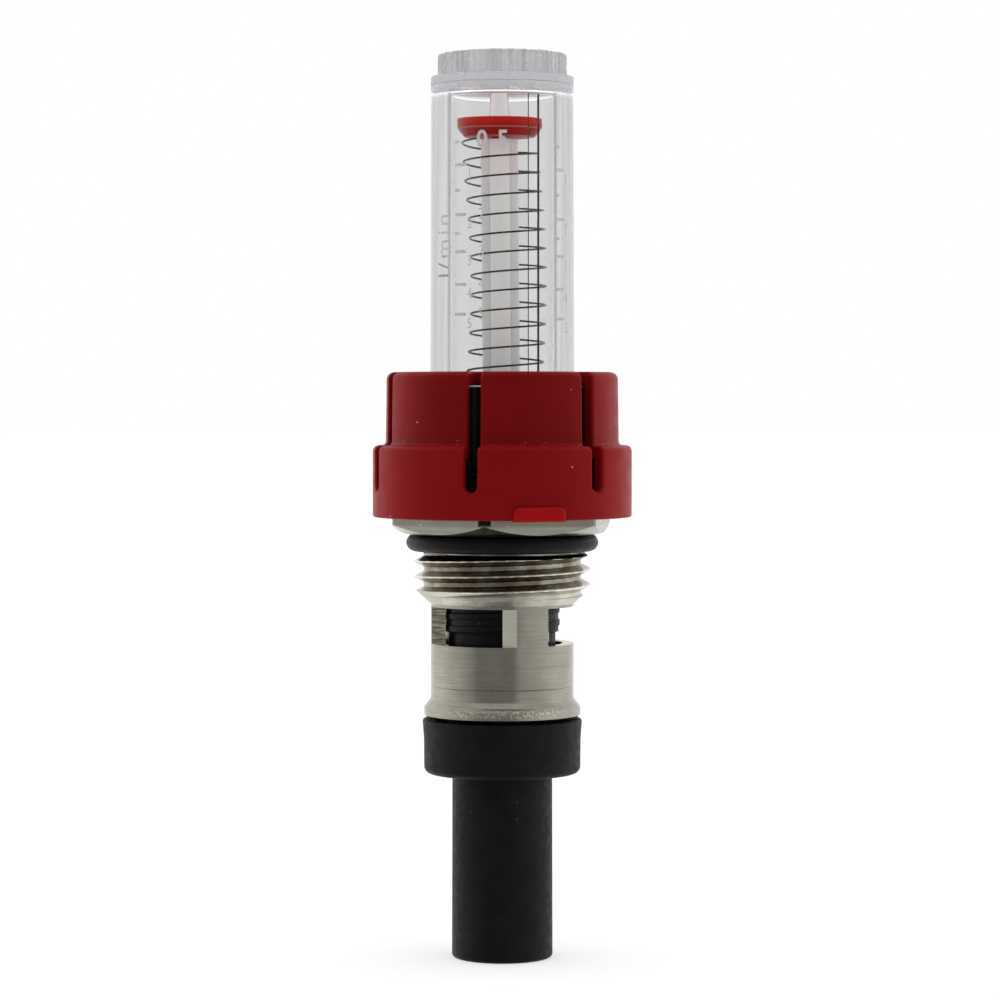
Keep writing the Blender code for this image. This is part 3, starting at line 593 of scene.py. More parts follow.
def cap_surface():
    """Moulded red plastic, satin, with fine grain and dust. Painted light: a paler red where it is seen edge
    on, pale scuffs with a painted highlight along the step and the top edge, and a lighter red on the lower
    wall and the lift tab.
    """
    s = Surface("red_cap_plastic")
    cloud = s.noise(0.16, 3.0)
    base = s.mix(s.spread(cloud), (0.195, 0.0020, 0.0036), (0.170, 0.0016, 0.0030))
    # Painted sheen: a paler red where the cap is seen edge on.
    base = s.mix(s.remap(s.facing(), 0.08, 0.70, 0.0, 0.42), base, (0.48, 0.009, 0.012))
    # Pale scuffs with a painted highlight along the upward faces of the step and the top edge.
    step = s.band(s.height(), CAP_STEP - 0.25, CAP_STEP + 0.05, CAP_STEP + 0.35, CAP_STEP + 0.95)
    brow = s.remap(s.height(), CAP_TOP - 0.65, CAP_TOP - 0.10)
    edge = s.maths("ADD", s.product(step, 0.8), s.product(brow, 0.35))
    scuff_and_highlight = s.product(edge, s.remap(s.noise(1.6, 6.0, (1.0, 1.0, 2.4), 0.7), 0.56, 0.70))
    base = s.mix(s.product(scuff_and_highlight, 0.5), base, (0.55, 0.22, 0.22))
    dust = s.specks(0.62, 0.07, 0.16)
    base = s.mix(dust, base, (0.75, 0.55, 0.52))
    # Painted light: the lower wall and the lift tab are made a lighter red than the rest of the cap.
    skirt = s.remap(s.radius(), CAP_LOWER_R - 0.9, CAP_LOWER_R - 0.4, 0.0, 0.22)
    tab = s.remap(s.radius(), CAP_LOWER_R + 0.06, CAP_LOWER_R + 0.20)
    base = s.mix(skirt, base, (0.42, 0.006, 0.008))
    base = s.mix(tab, base, (0.38, 0.0036, 0.0052))
    s.set(Base_Color=base)
    grain = s.noise(4.0, 3.0)
    s.set(Roughness=s.spread(s.noise(0.5, 4.0), 0.34, 0.44))
    s.set(Specular_IOR_Level=0.07)
    s.bump((grain, 0.006), (cloud, 0.05), (scuff_and_highlight, 0.02), (dust, 0.03))
    return s.material


def black_surface(name, colour, roughness, grain_depth, dust_share=0.10, streak=0.0, lit_edge_height=None):
    """Black rubber or plastic with fine grain, faint streaks and specks of dust.

    Its last argument is the height under which a thin pale line round the outside is painted as a highlight
    of the edge.
    """
    s = Surface(name)
    cloud = s.noise(0.35, 4.0)
    pale = tuple(1.9 * c for c in colour)
    base = s.mix(s.remap(cloud, 0.3, 0.75), colour, pale)
    dust = s.specks(1.1, 0.075, dust_share)
    base = s.mix(s.product(dust, 0.7), base, (0.32, 0.31, 0.29))
    if lit_edge_height:
        # Painted highlight: a thin pale line round the outside, just under the top edge.
        near_rim = s.remap(s.radius(), WHEEL_R - 0.9, WHEEL_R - 0.8)
        line = s.product(s.remap(s.height(), lit_edge_height - 0.20, lit_edge_height - 0.12), near_rim)
        base = s.mix(line, base, (0.80, 0.79, 0.76))
    s.set(Base_Color=base)
    s.set(Roughness=s.spread(s.noise(1.2, 4.0), roughness - 0.07, roughness + 0.08))
    s.set(Specular_IOR_Level=0.13)
    grain = s.noise(3.5, 4.0, (1.0, 1.0, 1.0 - 0.6 * streak))
    s.bump((grain, grain_depth), (cloud, 0.05), (dust, 0.03))
    return s.material


def clear_surface(name, tint, roughness=0.02, ior=1.49, wall_share=0.0, painted_edge_tint=None):
    """Clear moulded plastic. Light from lamps and between lit surfaces passes straight through it.

    The edge tint is its colour where it is seen edge on: painted shade. wall_share is a tube's bore over its
    outside: past it the wall is seen edge on, and is painted grey with a dark line and streaks, standing in
    for light bent in the wall.
    """
    s = Surface(name, roughness=roughness)
    wave = s.noise(0.25, 2.0, (1.0, 1.0, 0.35))
    body = s.mix(s.spread(wave), tint, tuple(0.985 * c for c in tint))
    facing = s.facing()
    painted_edge_tint = painted_edge_tint or tuple(0.80 * c for c in tint)
    # Painted shade: the plastic is made darker where it is seen edge on.
    body = s.mix(s.remap(facing, 0.30, 0.80), body, painted_edge_tint)
    if wall_share:
        start = 1 - math.sqrt(1 - wall_share ** 2)
        streak = s.noise(1.6, 2.0, (1.0, 1.0, 0.03))
        wall = s.mix(s.remap(streak, 0.42, 0.62), (0.40, 0.40, 0.40), (0.31, 0.31, 0.31))
        outside = s.remap(s.radius(), GLASS_BORE_R + 0.3, GLASS_TOP_R - 0.3)
        # Painted shade in place of light bent in the wall: a dark line at the bore's edge, then grey streaks.
        edge = s.product(outside, s.remap(facing, start - 0.05, start - 0.02))
        body = s.mix(edge, body, (0.29, 0.29, 0.29))
        wall_side = s.product(outside, s.remap(facing, start + 0.005, start + 0.03))
        body = s.mix(wall_side, body, wall)
        # Painted highlight: the top rim glows pale.
        rim = s.remap(s.height(), GLASS_TOP - 0.10, GLASS_TOP - 0.05)
        s.set(Emission_Color=(1.0, 1.0, 1.0), Emission_Strength=s.product(rim, 0.5))
    s.set(Base_Color=body)
    scratch = s.noise(2.0, 4.0, (1.0, 1.0, 0.08), 0.7)
    s.set(Roughness=s.remap(scratch, 0.55, 0.80, roughness, roughness + 0.10))
    s.set(Transmission_Weight=1.0, IOR=ior, Specular_Tint=(0.12, 0.12, 0.12))
    s.bump((wave, 0.010), (scratch, 0.002))
    path = s.add("LightPath")
    passed = s.maths("MAXIMUM", path.outputs["Is Shadow Ray"], path.outputs["Is Diffuse Ray"])
    s.pass_rays(passed, (0.98, 0.98, 0.98))
    return s.material


def frosted_surface():
    """Clear plastic gone milky, with upright streaks, a few dark specks and a faint painted glow."""
    s = Surface("frosted_plug_plastic")
    streak = s.noise(1.1, 3.0, (1.0, 1.0, 0.04))
    cloud = s.noise(0.4, 3.0)
    base = s.mix(s.remap(streak, 0.38, 0.66), (0.74, 0.74, 0.745), (0.56, 0.56, 0.57))
    flange = s.remap(s.height(), PLUG_FLANGE_TOP + 0.05, PLUG_FLANGE_TOP - 0.05)
    base = s.mix(flange, base, (0.76, 0.76, 0.80))
    base = s.mix(s.product(s.specks(0.9, 0.10, 0.08), 0.6), base, (0.20, 0.19, 0.18))
    # A faint painted glow stands in for light coming through the milky plastic.
    s.set(Base_Color=base, Emission_Color=base, Emission_Strength=0.03)
    s.set(Roughness=s.spread(cloud, 0.22, 0.38))
    s.set(Transmission_Weight=0.55, IOR=1.45, Specular_IOR_Level=0.4)
    s.bump((streak, 0.03), (s.noise(4.0, 3.0), 0.006))
    return s.material


def cut_edge_surface():
    """The sawn edge of clear plastic, painted dark as the shade it shows where it is seen end on."""
    s = Surface("cut_clear_edge", roughness=0.6)
    marks = s.noise(2.5, 4.0)
    s.set(Base_Color=s.mix(s.remap(marks, 0.35, 0.7), (0.030, 0.024, 0.020), (0.090, 0.080, 0.070)))
    s.set(Roughness=s.spread(marks, 0.5, 0.75))
    s.bump((marks, 0.01))
    return s.material


def disc_surface():
    """Glossy red plastic, with its light and shade painted: a brighter red up the rim, a darker red under the
    step, and pale highlight lines along the step and the top edge.
    """
    s = Surface("red_disc_plastic")
    cloud = s.noise(0.5, 3.0)
    base = s.mix(s.spread(cloud), (0.60, 0.006, 0.005), (0.50, 0.004, 0.004))
    height = s.height()
    # Painted light and shade: a brighter red up the rim, a darker red under the step.
    base = s.mix(s.remap(height, DISC_LINE + 0.17, DISC_TOP - 0.1, 0.0, 0.7), base, (0.90, 0.020, 0.010))
    base = s.mix(s.remap(height, DISC_LINE - 0.03, DISC_LINE - 0.23, 0.0, 0.6), base, (0.33, 0.003, 0.004))
    # Painted highlight: a pale line along the step.
    line = s.band(height, DISC_LINE - 0.09, DISC_LINE - 0.05, DISC_LINE + 0.05, DISC_LINE + 0.09)
    base = s.mix(s.product(line, 0.75), base, (0.52, 0.30, 0.22))
    # Painted highlight: a warm pale line along the top edge.
    warm_top_highlight = s.remap(height, DISC_TOP - 0.14, DISC_TOP - 0.03)
    base = s.mix(s.product(warm_top_highlight, 0.5), base, (0.85, 0.20, 0.03))
    s.set(Base_Color=base, Specular_IOR_Level=0.12)
    s.set(Roughness=s.spread(s.noise(2.0, 3.0), 0.30, 0.42))
    s.bump((s.noise(5.0, 2.0), 0.005))
    return s.material


def rod_surface():
    """Milky moulded plastic, with its shading painted: paler where it faces the eye, greyer towards its sides
    with a darker line between, and pinker near the red disc above.
    """
    s = Surface("milky_plastic")
    facing = s.facing()
    side = s.remap(facing, 0.13, 0.20)
    cloud = s.noise(0.5, 4.0, (1.0, 1.0, 0.25))
    pale = s.mix(s.spread(cloud), (0.88, 0.875, 0.86), (0.82, 0.815, 0.80))
    # Painted shade: greyer towards the sides as seen from the eye.
    base = s.mix(side, pale, (0.66, 0.655, 0.645))
    # Painted shade: a darker line where the pale middle meets the grey sides.
    line = s.band(facing, 0.155, 0.17, 0.185, 0.20)
    base = s.mix(s.product(line, 0.5), base, (0.40, 0.39, 0.38))
    # Painted light: red light from the disc above, made as a pinker top.
    rosy = s.remap(s.height(), SPRING_TOP - 7.5, SPRING_TOP, 0.0, 0.35)
    base = s.mix(rosy, base, (0.80, 0.56, 0.56))
    s.set(Base_Color=base)
    s.set(Roughness=s.spread(s.noise(1.5, 3.0), 0.28, 0.40))
    # A painted glow stands in for the light from behind the rod that comes through it.
    s.set(Emission_Color=base, Emission_Strength=0.26)
    s.bump((cloud, 0.01), (s.noise(6.0, 2.0), 0.003))
    return s.material


def white_surface():
    """Plain white moulded plastic with a trace of grey in its grain."""
    s = Surface("white_plastic")
    cloud = s.noise(0.6, 4.0)
    s.set(Base_Color=s.mix(s.spread(cloud), (0.66, 0.66, 0.64), (0.57, 0.57, 0.55)))
    s.set(Roughness=s.spread(s.noise(2.0, 3.0), 0.34, 0.48))
    s.bump((s.noise(5.0, 3.0), 0.006))
    return s.material


def ink_surface():
    """Screen-printed white ink, thin and slightly uneven."""
    s = Surface("scale_ink", roughness=0.6)
    cover = s.noise(3.0, 4.0)
    s.set(Base_Color=s.mix(s.remap(cover, 0.35, 0.7), (0.66, 0.66, 0.65), (0.54, 0.54, 0.53)))
    s.set(Roughness=s.spread(cover, 0.5, 0.7))
    s.bump((cover, 0.004))
    return s.material


NICKEL = nickel_surface()
SPRING_STEEL = steel_surface("spring_steel", (0.18, 0.145, 0.11))
CLIP_STEEL = steel_surface("clip_steel", (0.55, 0.53, 0.50))
RED_CAP = cap_surface()
RED_DISC = disc_surface()
BLACK_RUBBER = black_surface("black_rubber", (0.0042, 0.0042, 0.0044), 0.42, 0.004, 0.03)
BLACK_TUBE = black_surface("black_tube_plastic", (0.0038, 0.0038, 0.0040), 0.52, 0.010, 0.12)
BLACK_WHEEL = black_surface("black_wheel_plastic", (0.0040, 0.0040, 0.0043), 0.46, 0.008, 0.05,
                            lit_edge_height=WHEEL_TOP)
BLACK_SPINDLE = black_surface("black_spindle_plastic", (0.0032, 0.0036, 0.0040), 0.45, 0.010, 0.06, 1.0)
CLEAR = clear_surface("clear_plastic", (0.87, 0.87, 0.875), wall_share=GLASS_BORE_R / GLASS_FOOT_R)
CLEAR_SLEEVE = clear_surface("clear_sleeve_plastic", (0.94, 0.94, 0.94), ior=1.42)
CUT_EDGE = cut_edge_surface()
FROSTED_PLUG = frosted_surface()
PINK_CLEAR = clear_surface("pink_clear_plastic", (0.93, 0.88, 0.875), 0.04, painted_edge_tint=(0.62, 0.30, 0.33))
MILKY = rod_surface()
WHITE = white_surface()
INK = ink_surface()


# ---------------------------------------------------------------- valve body


def thread_radius(bearing, height, outer_r, depth, pitch, crest_at_front, half_angle=27.5, crest=0.06):
    """The radius of a right-hand thread: sharp crests, rounded roots."""
    turn = (bearing + math.pi) % (2 * math.pi) - math.pi
    offset = height - crest_at_front - pitch * turn / (2 * math.pi)
    from_crest = np.abs((offset + pitch / 2) % pitch - pitch / 2)
    drop = np.maximum(from_crest - crest, 0.0) / math.tan(math.radians(half_angle))
    soft = 0.12 * depth
    over = np.clip((drop - depth + soft) / (2 * soft), 0.0, 1.0)
    return outer_r - np.minimum(drop, depth) + soft * 0.5 * over * (1 - over)


def body_thread_row(height):
    """One row of the pipe thread, cut off by a chamfer at each end and a little ragged at its crests."""

    def radius(bearing):
        cone = STEM_R + 0.05 + (height - STEM_TOP) * (THREAD_R - STEM_R) / (THREAD_CONE_TOP - STEM_TOP)
        lead = THREAD_R - 0.75 + (THREAD_TOP - height) * 1.6
        form = thread_radius(bearing, height, THREAD_R, THREAD_DEPTH, THREAD_PITCH, CREST_AT_FRONT)
        x = THREAD_R * np.sin(bearing)
        y = -THREAD_R * np.cos(bearing)
        wear = ripple(x, y, np.full_like(x, height), 0.7)
        near_crest = np.clip((form - THREAD_R + 0.3) / 0.3, 0.0, 1.0)
        form = form + 0.045 * wear * near_crest
        cone = cone + 0.035 * ripple(x, y, np.full_like(x, height), 0.45, 7.0)
        return np.minimum(np.minimum(form, lead), cone)

    return radius, height


def body_profile():
    slope = math.tan(math.radians(30))
    corner_r = HEX_FLATS / 2 / math.cos(math.pi / 6)
    top = rounded([
        (9.3, HEX_TOP, 0.1), (12.7, HEX_TOP, 0.1),
        (corner_r + 0.1, HEX_TOP - (corner_r + 0.1 - 12.7) * slope, 0.1),
        (corner_r + 0.1, (corner_r + 0.1 - 11.75) * slope, 0.1), (11.75, 0.0, 0.08), (11.45, 0.0, 0.05),
        (11.45, 0.15, 0.05), (9.15, 0.15, 0.1), (9.15, THREAD_TOP),
    ], closed=False)
    rows = int(round((THREAD_TOP - STEM_TOP) / 0.05))
    thread = [body_thread_row(THREAD_TOP - 0.02 - 0.05 * i) for i in range(rows)]
    stem = rounded([
        (STEM_R, STEM_TOP), (STEM_R, -17.95, 0.04), (STEM_R - 0.10, -18.05, 0.04), (STEM_R, -18.15, 0.04),
        (STEM_R, -19.45, 0.35), (FLANGE_R, -20.5, 0.3), (FLANGE_R, FLANGE_BOTTOM + 0.25, 0.12),
        (FLANGE_R - 0.23, FLANGE_BOTTOM, 0.1), (7.7, FLANGE_BOTTOM, 0.08), (7.7, -22.6, 0.08),
        (6.9, -22.6, 0.08), (6.9, -23.9, 0.08), (7.7, -23.9, 0.08), (7.7, -25.0, 0.3), (4.4, -25.0, 0.15),
        (4.4, -20.05, 0.25), (5.4, -20.05, 0.1), (5.6, -20.4, 0.1), (7.1, -20.4, 0.1), (7.1, 2.6, 0.15),
        (8.9, 2.6, 0.1), (8.9, 3.5, 0.05), (9.5, 3.5, 0.05), (9.5, 4.7, 0.05), (8.9, 4.7, 0.05),
        (8.9, 6.4, 0.1), (9.3, HEX_TOP),
    ], closed=False, steps=3)
    return top + thread + stem[:-1]


def hex_cutter():
    """A ring with a hexagonal hole, whose corners are a little rounded."""
    hexagonal = hexagon(HEX_FLATS, HEX_BEARING)
    corner_r = HEX_FLATS / 2 / math.cos(math.pi / 6)

    def hole(bearing):
        return np.minimum(hexagonal(bearing), corner_r - 0.12)

    profile = [(hole, 8.0), (20.0, 8.0), (20.0, -1.0), (hole, -1.0)]
    return lathe("hex_cutter", profile, 360)


def make_valve_body():
    mesh = lathe("valve_body_mesh", body_profile(), FINE_ROUND)
    mesh = cut(mesh, hex_cutter())
    for i in range(WINDOWS):
        bearing = WINDOW_BEARING + 360.0 * i / WINDOWS
        mesh = cut(mesh, block("window", WINDOW_FLAT, 10.0, WINDOW_BOTTOM, WINDOW_TOP, 18.0, bearing))
    mesh = cut(mesh, block("notch", 12.65, 14.8, 1.2, 8.2, 1.5, HEX_BEARING))
    new_piece("valve_body_visual", mesh, NICKEL, "valve", "nickel_plate", "valve_body", sharp=28)


def ring_profile(centre_r, section_r, height, flash=0.0):
    """An O-ring's section, with a faint mould line on its outside."""
    steps = 24
    profile = []
    for i in range(steps):
        angle = -2 * math.pi * i / steps
        bulge = flash * math.exp(-(((angle + math.pi) % (2 * math.pi) - math.pi) / 0.12) ** 2)
        radius = centre_r + (section_r + bulge) * math.cos(angle)
        profile.append((radius, height + section_r * math.sin(angle)))
    return profile


def make_seals():
    seal = rounded([(6.3, -14.9, 0.2), (6.3, -16.2, 0.3), (3.35, -16.2, 0.1), (3.35, -14.9, 0.1)])
    gasket = rounded([(8.52, 12.0, 0.2), (8.52, 10.7, 0.2), (6.9, 10.7, 0.2), (6.9, 12.0, 0.2)])
    seals = (
        ("body_o_ring", "valve", ring_profile(10.33, 1.02, -1.07, flash=0.02), ROUND),
        ("tube_o_ring", "valve", ring_profile(7.42, 0.45, -23.25), SMALL_ROUND),
        ("spindle_o_ring_upper", "spindle", ring_profile(6.25, 0.72, 0.45), SMALL_ROUND),
        ("spindle_o_ring_lower", "spindle", ring_profile(6.25, 0.72, -2.05), SMALL_ROUND),
        ("seat_seal", "spindle", seal, SMALL_ROUND),
        ("glass_gasket", "wheel", gasket, SMALL_ROUND),
    )
    for node, body, profile, steps in seals:
        turned(node, profile, BLACK_RUBBER, body, "black_rubber", steps)


def make_outlet_tube():
    def rim(radius, height, amount):
        """A row of the cup's rim, which is a little uneven."""

        def wave(bearing, size, seed=0.0):
            return amount * ripple(9 * np.sin(bearing), -9 * np.cos(bearing), 0 * bearing, size, seed)

        def radii(bearing):
            return radius + wave(bearing, 1.1)

        def heights(bearing):
            return height + 1.6 * wave(bearing, 1.5, 4.0)

        return radii, heights

    smooth_rows = rounded([
        (9.43, CUP_TOP - 0.35), (9.28, CUP_TOP - 2.35, 2.0), (9.25, CUP_BOTTOM, 0.8),
        (6.15, CUP_BOTTOM, 0.12), (5.92, CUP_BOTTOM - 0.35, 0.3), (5.97, TUBE_BOTTOM, 0.42),
        (4.8, TUBE_BOTTOM, 0.3), (4.0, -25.3, 0.2), (8.05, -25.3, 0.2), (8.05, CUP_TOP - 0.25),
    ], closed=False, steps=5)
    rows = [rim(8.4, CUP_TOP - 0.05, 0.03), rim(9.15, CUP_TOP - 0.01, 0.05), rim(9.36, CUP_TOP - 0.09, 0.05),
            *smooth_rows]
    turned("outlet_tube", rows, BLACK_TUBE, "valve", "black_plastic")


def make_stop_ring():
    """A flat ring under the handwheel whose arm turns down into the notch in the hex."""
    bottom = HEX_TOP + 0.15
    top = bottom + 0.45
    ring = rounded([(11.9, top, 0.1), (11.9, bottom, 0.1), (9.0, bottom, 0.1), (9.0, top, 0.1)])
    mesh = lathe("stop_ring_mesh", ring)
    mesh = cut(mesh, block("stop_arm", 11.2, 13.5, bottom + 0.01, top - 0.01, 1.2, HEX_BEARING), "UNION")
    mesh = cut(mesh, block("stop_tab", 12.3, 13.52, 1.35, top - 0.03, 1.16, HEX_BEARING), "UNION")
    new_piece("stop_ring_visual", mesh, BLACK_WHEEL, "valve", "black_plastic", "stop_ring")


def make_clips():
    """Snap rings: flat, with a gap that lets them open."""
    clips = (
        ("retaining_ring", "valve", 8.15, 9.3, 3.7, 4.5, 180.0, 3.0),
        ("seal_clip", "spindle", 3.0, 4.05, -16.9, -16.4, 0.0, 1.6),
        ("baffle_clip", "float", 1.0, 2.1, -26.95, -26.55, 0.0, 0.9),
    )
    for node, body, inner, outer, bottom, top, bearing, gap in clips:
        half_gap = math.degrees(math.asin(gap / 2 / outer))
        edge = 0.12 * (top - bottom)
        corners = ((outer, top), (outer, bottom), (inner, bottom), (inner, top))
        profile = rounded([(*corner, edge) for corner in corners])
        mesh = split_lathe(node + "_mesh", profile, bearing + half_gap, bearing + 360 - half_gap, SMALL_ROUND)
        new_piece(node + "_visual", mesh, CLIP_STEEL, body, "spring_steel", node)


# ---------------------------------------------------------------- handwheel, glass and what turns with them


def make_handwheel():
    outer = WHEEL_R
    foot = 7.65
    flutes = 18

    def fluted(radius, share=1.0):
        def radii(bearing):
            part = (bearing * flutes / (2 * math.pi)) % 1.0 - 0.5
            across = np.abs(part) * 2 * math.pi / flutes * outer
            scoop = np.sqrt(np.maximum(1.1 ** 2 - across ** 2, 0.0)) - 0.6
            return radius - share * np.maximum(scoop, 0.0)

        return radii

    socket = hexagon(10.4)
    rows = [
        (8.85, WHEEL_TOP),
        (fluted(outer - 0.55, 0.6), WHEEL_TOP),
        (fluted(outer - 0.16), WHEEL_TOP - 0.16),
        (fluted(outer), WHEEL_TOP - 0.5),
        (fluted(outer), 12.0),
        (fluted(outer), foot + 0.30),
        (fluted(outer - 0.1), foot + 0.07),
        (fluted(outer - 0.35, 0.6), foot),
        *rounded([
            (8.6, foot), (8.6, 4.7, 0.05), (7.9, 4.7, 0.05), (7.9, 3.5, 0.05), (8.6, 3.5, 0.05),
            (8.6, 2.9, 0.25), (6.4, 2.9),
        ], closed=False),
        (socket, 3.2),
        (socket, 9.0),
        *rounded([(3.6, 9.0), (3.6, 10.5, 0.1), (8.65, 10.5, 0.1), (8.65, WHEEL_TOP - 0.2)], closed=False),
    ]
    turned("handwheel", rows, BLACK_WHEEL, "wheel", "black_plastic", 360, sharp=40)


def make_sight_glass():
    profile = rounded([
        (GLASS_TOP_R, GLASS_TOP, 0.06), (GLASS_FOOT_R, GLASS_BOTTOM, 0.18),
        (GLASS_BORE_R, GLASS_BOTTOM, 0.15), (GLASS_BORE_R, GLASS_TOP, 0.06),
    ])
    turned("sight_glass", profile, CLEAR, "wheel", "clear_plastic", FINE_ROUND, sharp=50)


def make_scale_sleeve():
    half = math.degrees(math.asin(SLIT_WIDTH / 2 / SLEEVE_R))
    profile = rounded([
        (SLEEVE_R, SLEEVE_TOP, 0.1), (SLEEVE_R, SLEEVE_BOTTOM, 0.1), (SLEEVE_BORE_R, SLEEVE_BOTTOM, 0.1),
        (SLEEVE_BORE_R, SLEEVE_TOP, 0.1),
    ])
    mesh = split_lathe("scale_sleeve_mesh", profile, SLIT_BEARING + half, SLIT_BEARING + 360 - half, ROUND)
    made = new_piece("scale_sleeve_visual", mesh, CLEAR_SLEEVE, "wheel", "clear_plastic", "scale_sleeve",
                     sharp=50)
    made.data.materials.append(CUT_EDGE)
    for face in made.data.polygons:
        if len(face.vertices) > 4:
            face.material_index = 1


def make_end_plug():
    head_r = 7.6
    ribs = 60
    flange_r = 8.42

    def ribbed(radius, share=1.0):
        def radii(bearing):
            x, y = 5 * np.sin(bearing), -5 * np.cos(bearing)
            wave = 0.5 - 0.5 * np.cos(ribs * bearing)
            worn = 0.5 + 0.5 * ripple(x, y, 0 * x, 1.6, 3.0)
            return radius - share * (0.03 + 0.14 * worn) * (1 - wave ** 0.7)

        return radii

    def ragged(height):
        def heights(bearing):
            x, y = 8 * np.sin(bearing), -8 * np.cos(bearing)
            return height + 0.07 * ripple(x, y, 0 * x, 0.45, 9.0)

        return heights

    rows = [
        (0.0, PLUG_TOP - 0.12), (head_r - 1.2, PLUG_TOP - 0.12),
        (ribbed(head_r - 0.30, 0.5), ragged(PLUG_TOP - 0.08)),
        (ribbed(head_r - 0.06), ragged(PLUG_TOP - 0.16)),
        (ribbed(head_r), PLUG_TOP - 0.35),
        (ribbed(head_r), PLUG_FLANGE_TOP + 0.12),
        (ribbed(head_r + 0.12, 0.6), PLUG_FLANGE_TOP),
        *rounded([
            (head_r + 0.4, PLUG_FLANGE_TOP), (flange_r, PLUG_FLANGE_TOP, 0.18),
            (flange_r, PLUG_FOOT + 0.77, 0.05), (flange_r - 0.2, PLUG_FOOT + 0.71, 0.05),
            (flange_r, PLUG_FOOT + 0.65, 0.05), (flange_r - 0.04, PLUG_FOOT, 0.06), (4.6, PLUG_FOOT, 0.1),
            (4.6, PLUG_FOOT + 0.65, 0.3), (0.0, PLUG_FOOT + 0.65),
        ], closed=False),
    ]
    turned("end_plug", rows, FROSTED_PLUG, "wheel", "clear_plastic", 480, closed=False, sharp=50)


def make_spring_seat():
    profile = rounded([
        (6.3, 12.8, 0.2), (6.3, 10.8, 0.2), (3.3, 10.8, 0.1), (3.3, 9.3, 0.2), (2.45, 9.3, 0.1),
        (2.45, 12.8, 0.2),
    ])
    turned("spring_seat", profile, WHITE, "wheel", "white_plastic", SMALL_ROUND)


def make_spring():
    """A coil that leans out a little to one side half way up."""
    pitch = 2.225
    turns = 15.45
    dead_turns = 1.0
    dead_pitch = 0.46
    steps = 40
    section = 10
    count = int(turns * steps)
    along = np.arange(count + 1) / steps
    height = SPRING_TOP - 0.1 - pitch * along
    settled = SPRING_BOTTOM + SPRING_WIRE_R + dead_pitch * (turns - along)
    height = np.maximum(height, settled)
    # The wire runs down from its upper end, under the front of the disc.
    bearing = math.radians(-30.0) - 2 * math.pi * along
    share = (height - SPRING_BOTTOM) / (SPRING_TOP - SPRING_BOTTOM)
    bow = 0.95 * np.sin(math.pi * np.clip(1 - share, 0, 1)) ** 1.2
    shell = Shell()
    rows = []
    for i in range(section):
        angle = 2 * math.pi * i / section
        radius = SPRING_R + SPRING_WIRE_R * math.cos(angle)
        points = around(radius, height + SPRING_WIRE_R * math.sin(angle), bearing)
        points[:, 0] += bow
        lean(points)
        rows.append(points)
    shell.tube(rows)
    mesh = shell.mesh("indicator_spring_mesh", 0.0001)
    made = new_piece("indicator_spring_visual", mesh, SPRING_STEEL, "wheel", "spring_steel",
                     "indicator_spring", sharp=80)
    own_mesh(made)


# ---------------------------------------------------------------- printed scale


def wrapped(mesh, bearing, height, radius):
    """Bends a flat mesh in X and Y round the glass, with its origin at a bearing and height. Z is depth."""
    turn = math.radians(bearing)
    for vertex in mesh.vertices:
        x, y, depth = vertex.co
        angle = turn + x / radius
        reach = radius + depth
        vertex.co = (reach * math.sin(angle), -reach * math.cos(angle), height + y)


def bar_mesh(name, width, height, depth):
    columns = max(2, int(width / 0.3) + 1)
    across = np.linspace(-width / 2, width / 2, columns)
    section = ((-height / 2, 0), (height / 2, 0), (height / 2, depth), (-height / 2, depth))
    shell = Shell()
    shell.tube([[(x, y, z) for x in across] for y, z in section])
    return shell.mesh(name)


def glyph_mesh(text, size, depth, narrow=1.0, upright=True, bold=0.0):
    """Lettering as a flat mesh in millimetres, centred on its origin. bold thickens its strokes."""
    curve = bpy.data.curves.new("glyph", "FONT")
    curve.body = text
    curve.size = size
    curve.align_x = "CENTER"
    curve.align_y = "CENTER"
    curve.extrude = depth / 2
    curve.resolution_u = 6
    curve.offset = bold
    curve.space_character = 1.25 if len(text) > 1 else 1.0
    holder = bpy.data.objects.new("glyph", curve)
    bpy.context.scene.collection.objects.link(holder)
    bpy.context.view_layer.update()
    graph = bpy.context.evaluated_depsgraph_get()
    mesh = bpy.data.meshes.new_from_object(holder.evaluated_get(graph), depsgraph=graph)
    bpy.data.objects.remove(holder, do_unlink=True)
    for vertex in mesh.vertices:
        x, y, z = vertex.co
        x *= narrow
        vertex.co = (x, y, z + depth / 2) if upright else (-y, x, z + depth / 2)
    return mesh


def joined(name, meshes):
    shape = bmesh.new()
    for mesh in meshes:
        shape.from_mesh(mesh)
        bpy.data.meshes.remove(mesh)
    bmesh.ops.remove_doubles(shape, verts=shape.verts, dist=0.0002)
    made = bpy.data.meshes.new(name)
    shape.to_mesh(made)
    shape.free()
    return made


TICK_HEIGHTS = (42.95, 37.2, 32.9, 29.1, 25.65)
HALF_TICK_HEIGHTS = (45.6, 40.0, 35.0)
INK_DEPTH = 0.02


def glass_radius(height):
    share = (height - GLASS_BOTTOM) / (GLASS_TOP - GLASS_BOTTOM)
    return GLASS_FOOT_R + (GLASS_TOP_R - GLASS_FOOT_R) * share + 0.004


def scale_column(bearing, drop=0.0):
    """A column of ticks, with numbers to the right of them. drop lowers it all."""
    marks = []
    for number, height in enumerate(TICK_HEIGHTS, start=1):
        height -= drop
        radius = glass_radius(height)
        tick = bar_mesh("tick", 1.55, 0.36, INK_DEPTH)
        wrapped(tick, bearing, height, radius)
        digit = glyph_mesh(str(number), 1.75, INK_DEPTH, 0.72)
        wrapped(digit, bearing + 8.3, height - 1.1, radius)
        marks += [tick, digit]
    for height in HALF_TICK_HEIGHTS:
        tick = bar_mesh("half_tick", 0.62, 0.34, INK_DEPTH)
        wrapped(tick, bearing - 3.2, height - drop, glass_radius(height))
        marks.append(tick)
    return marks


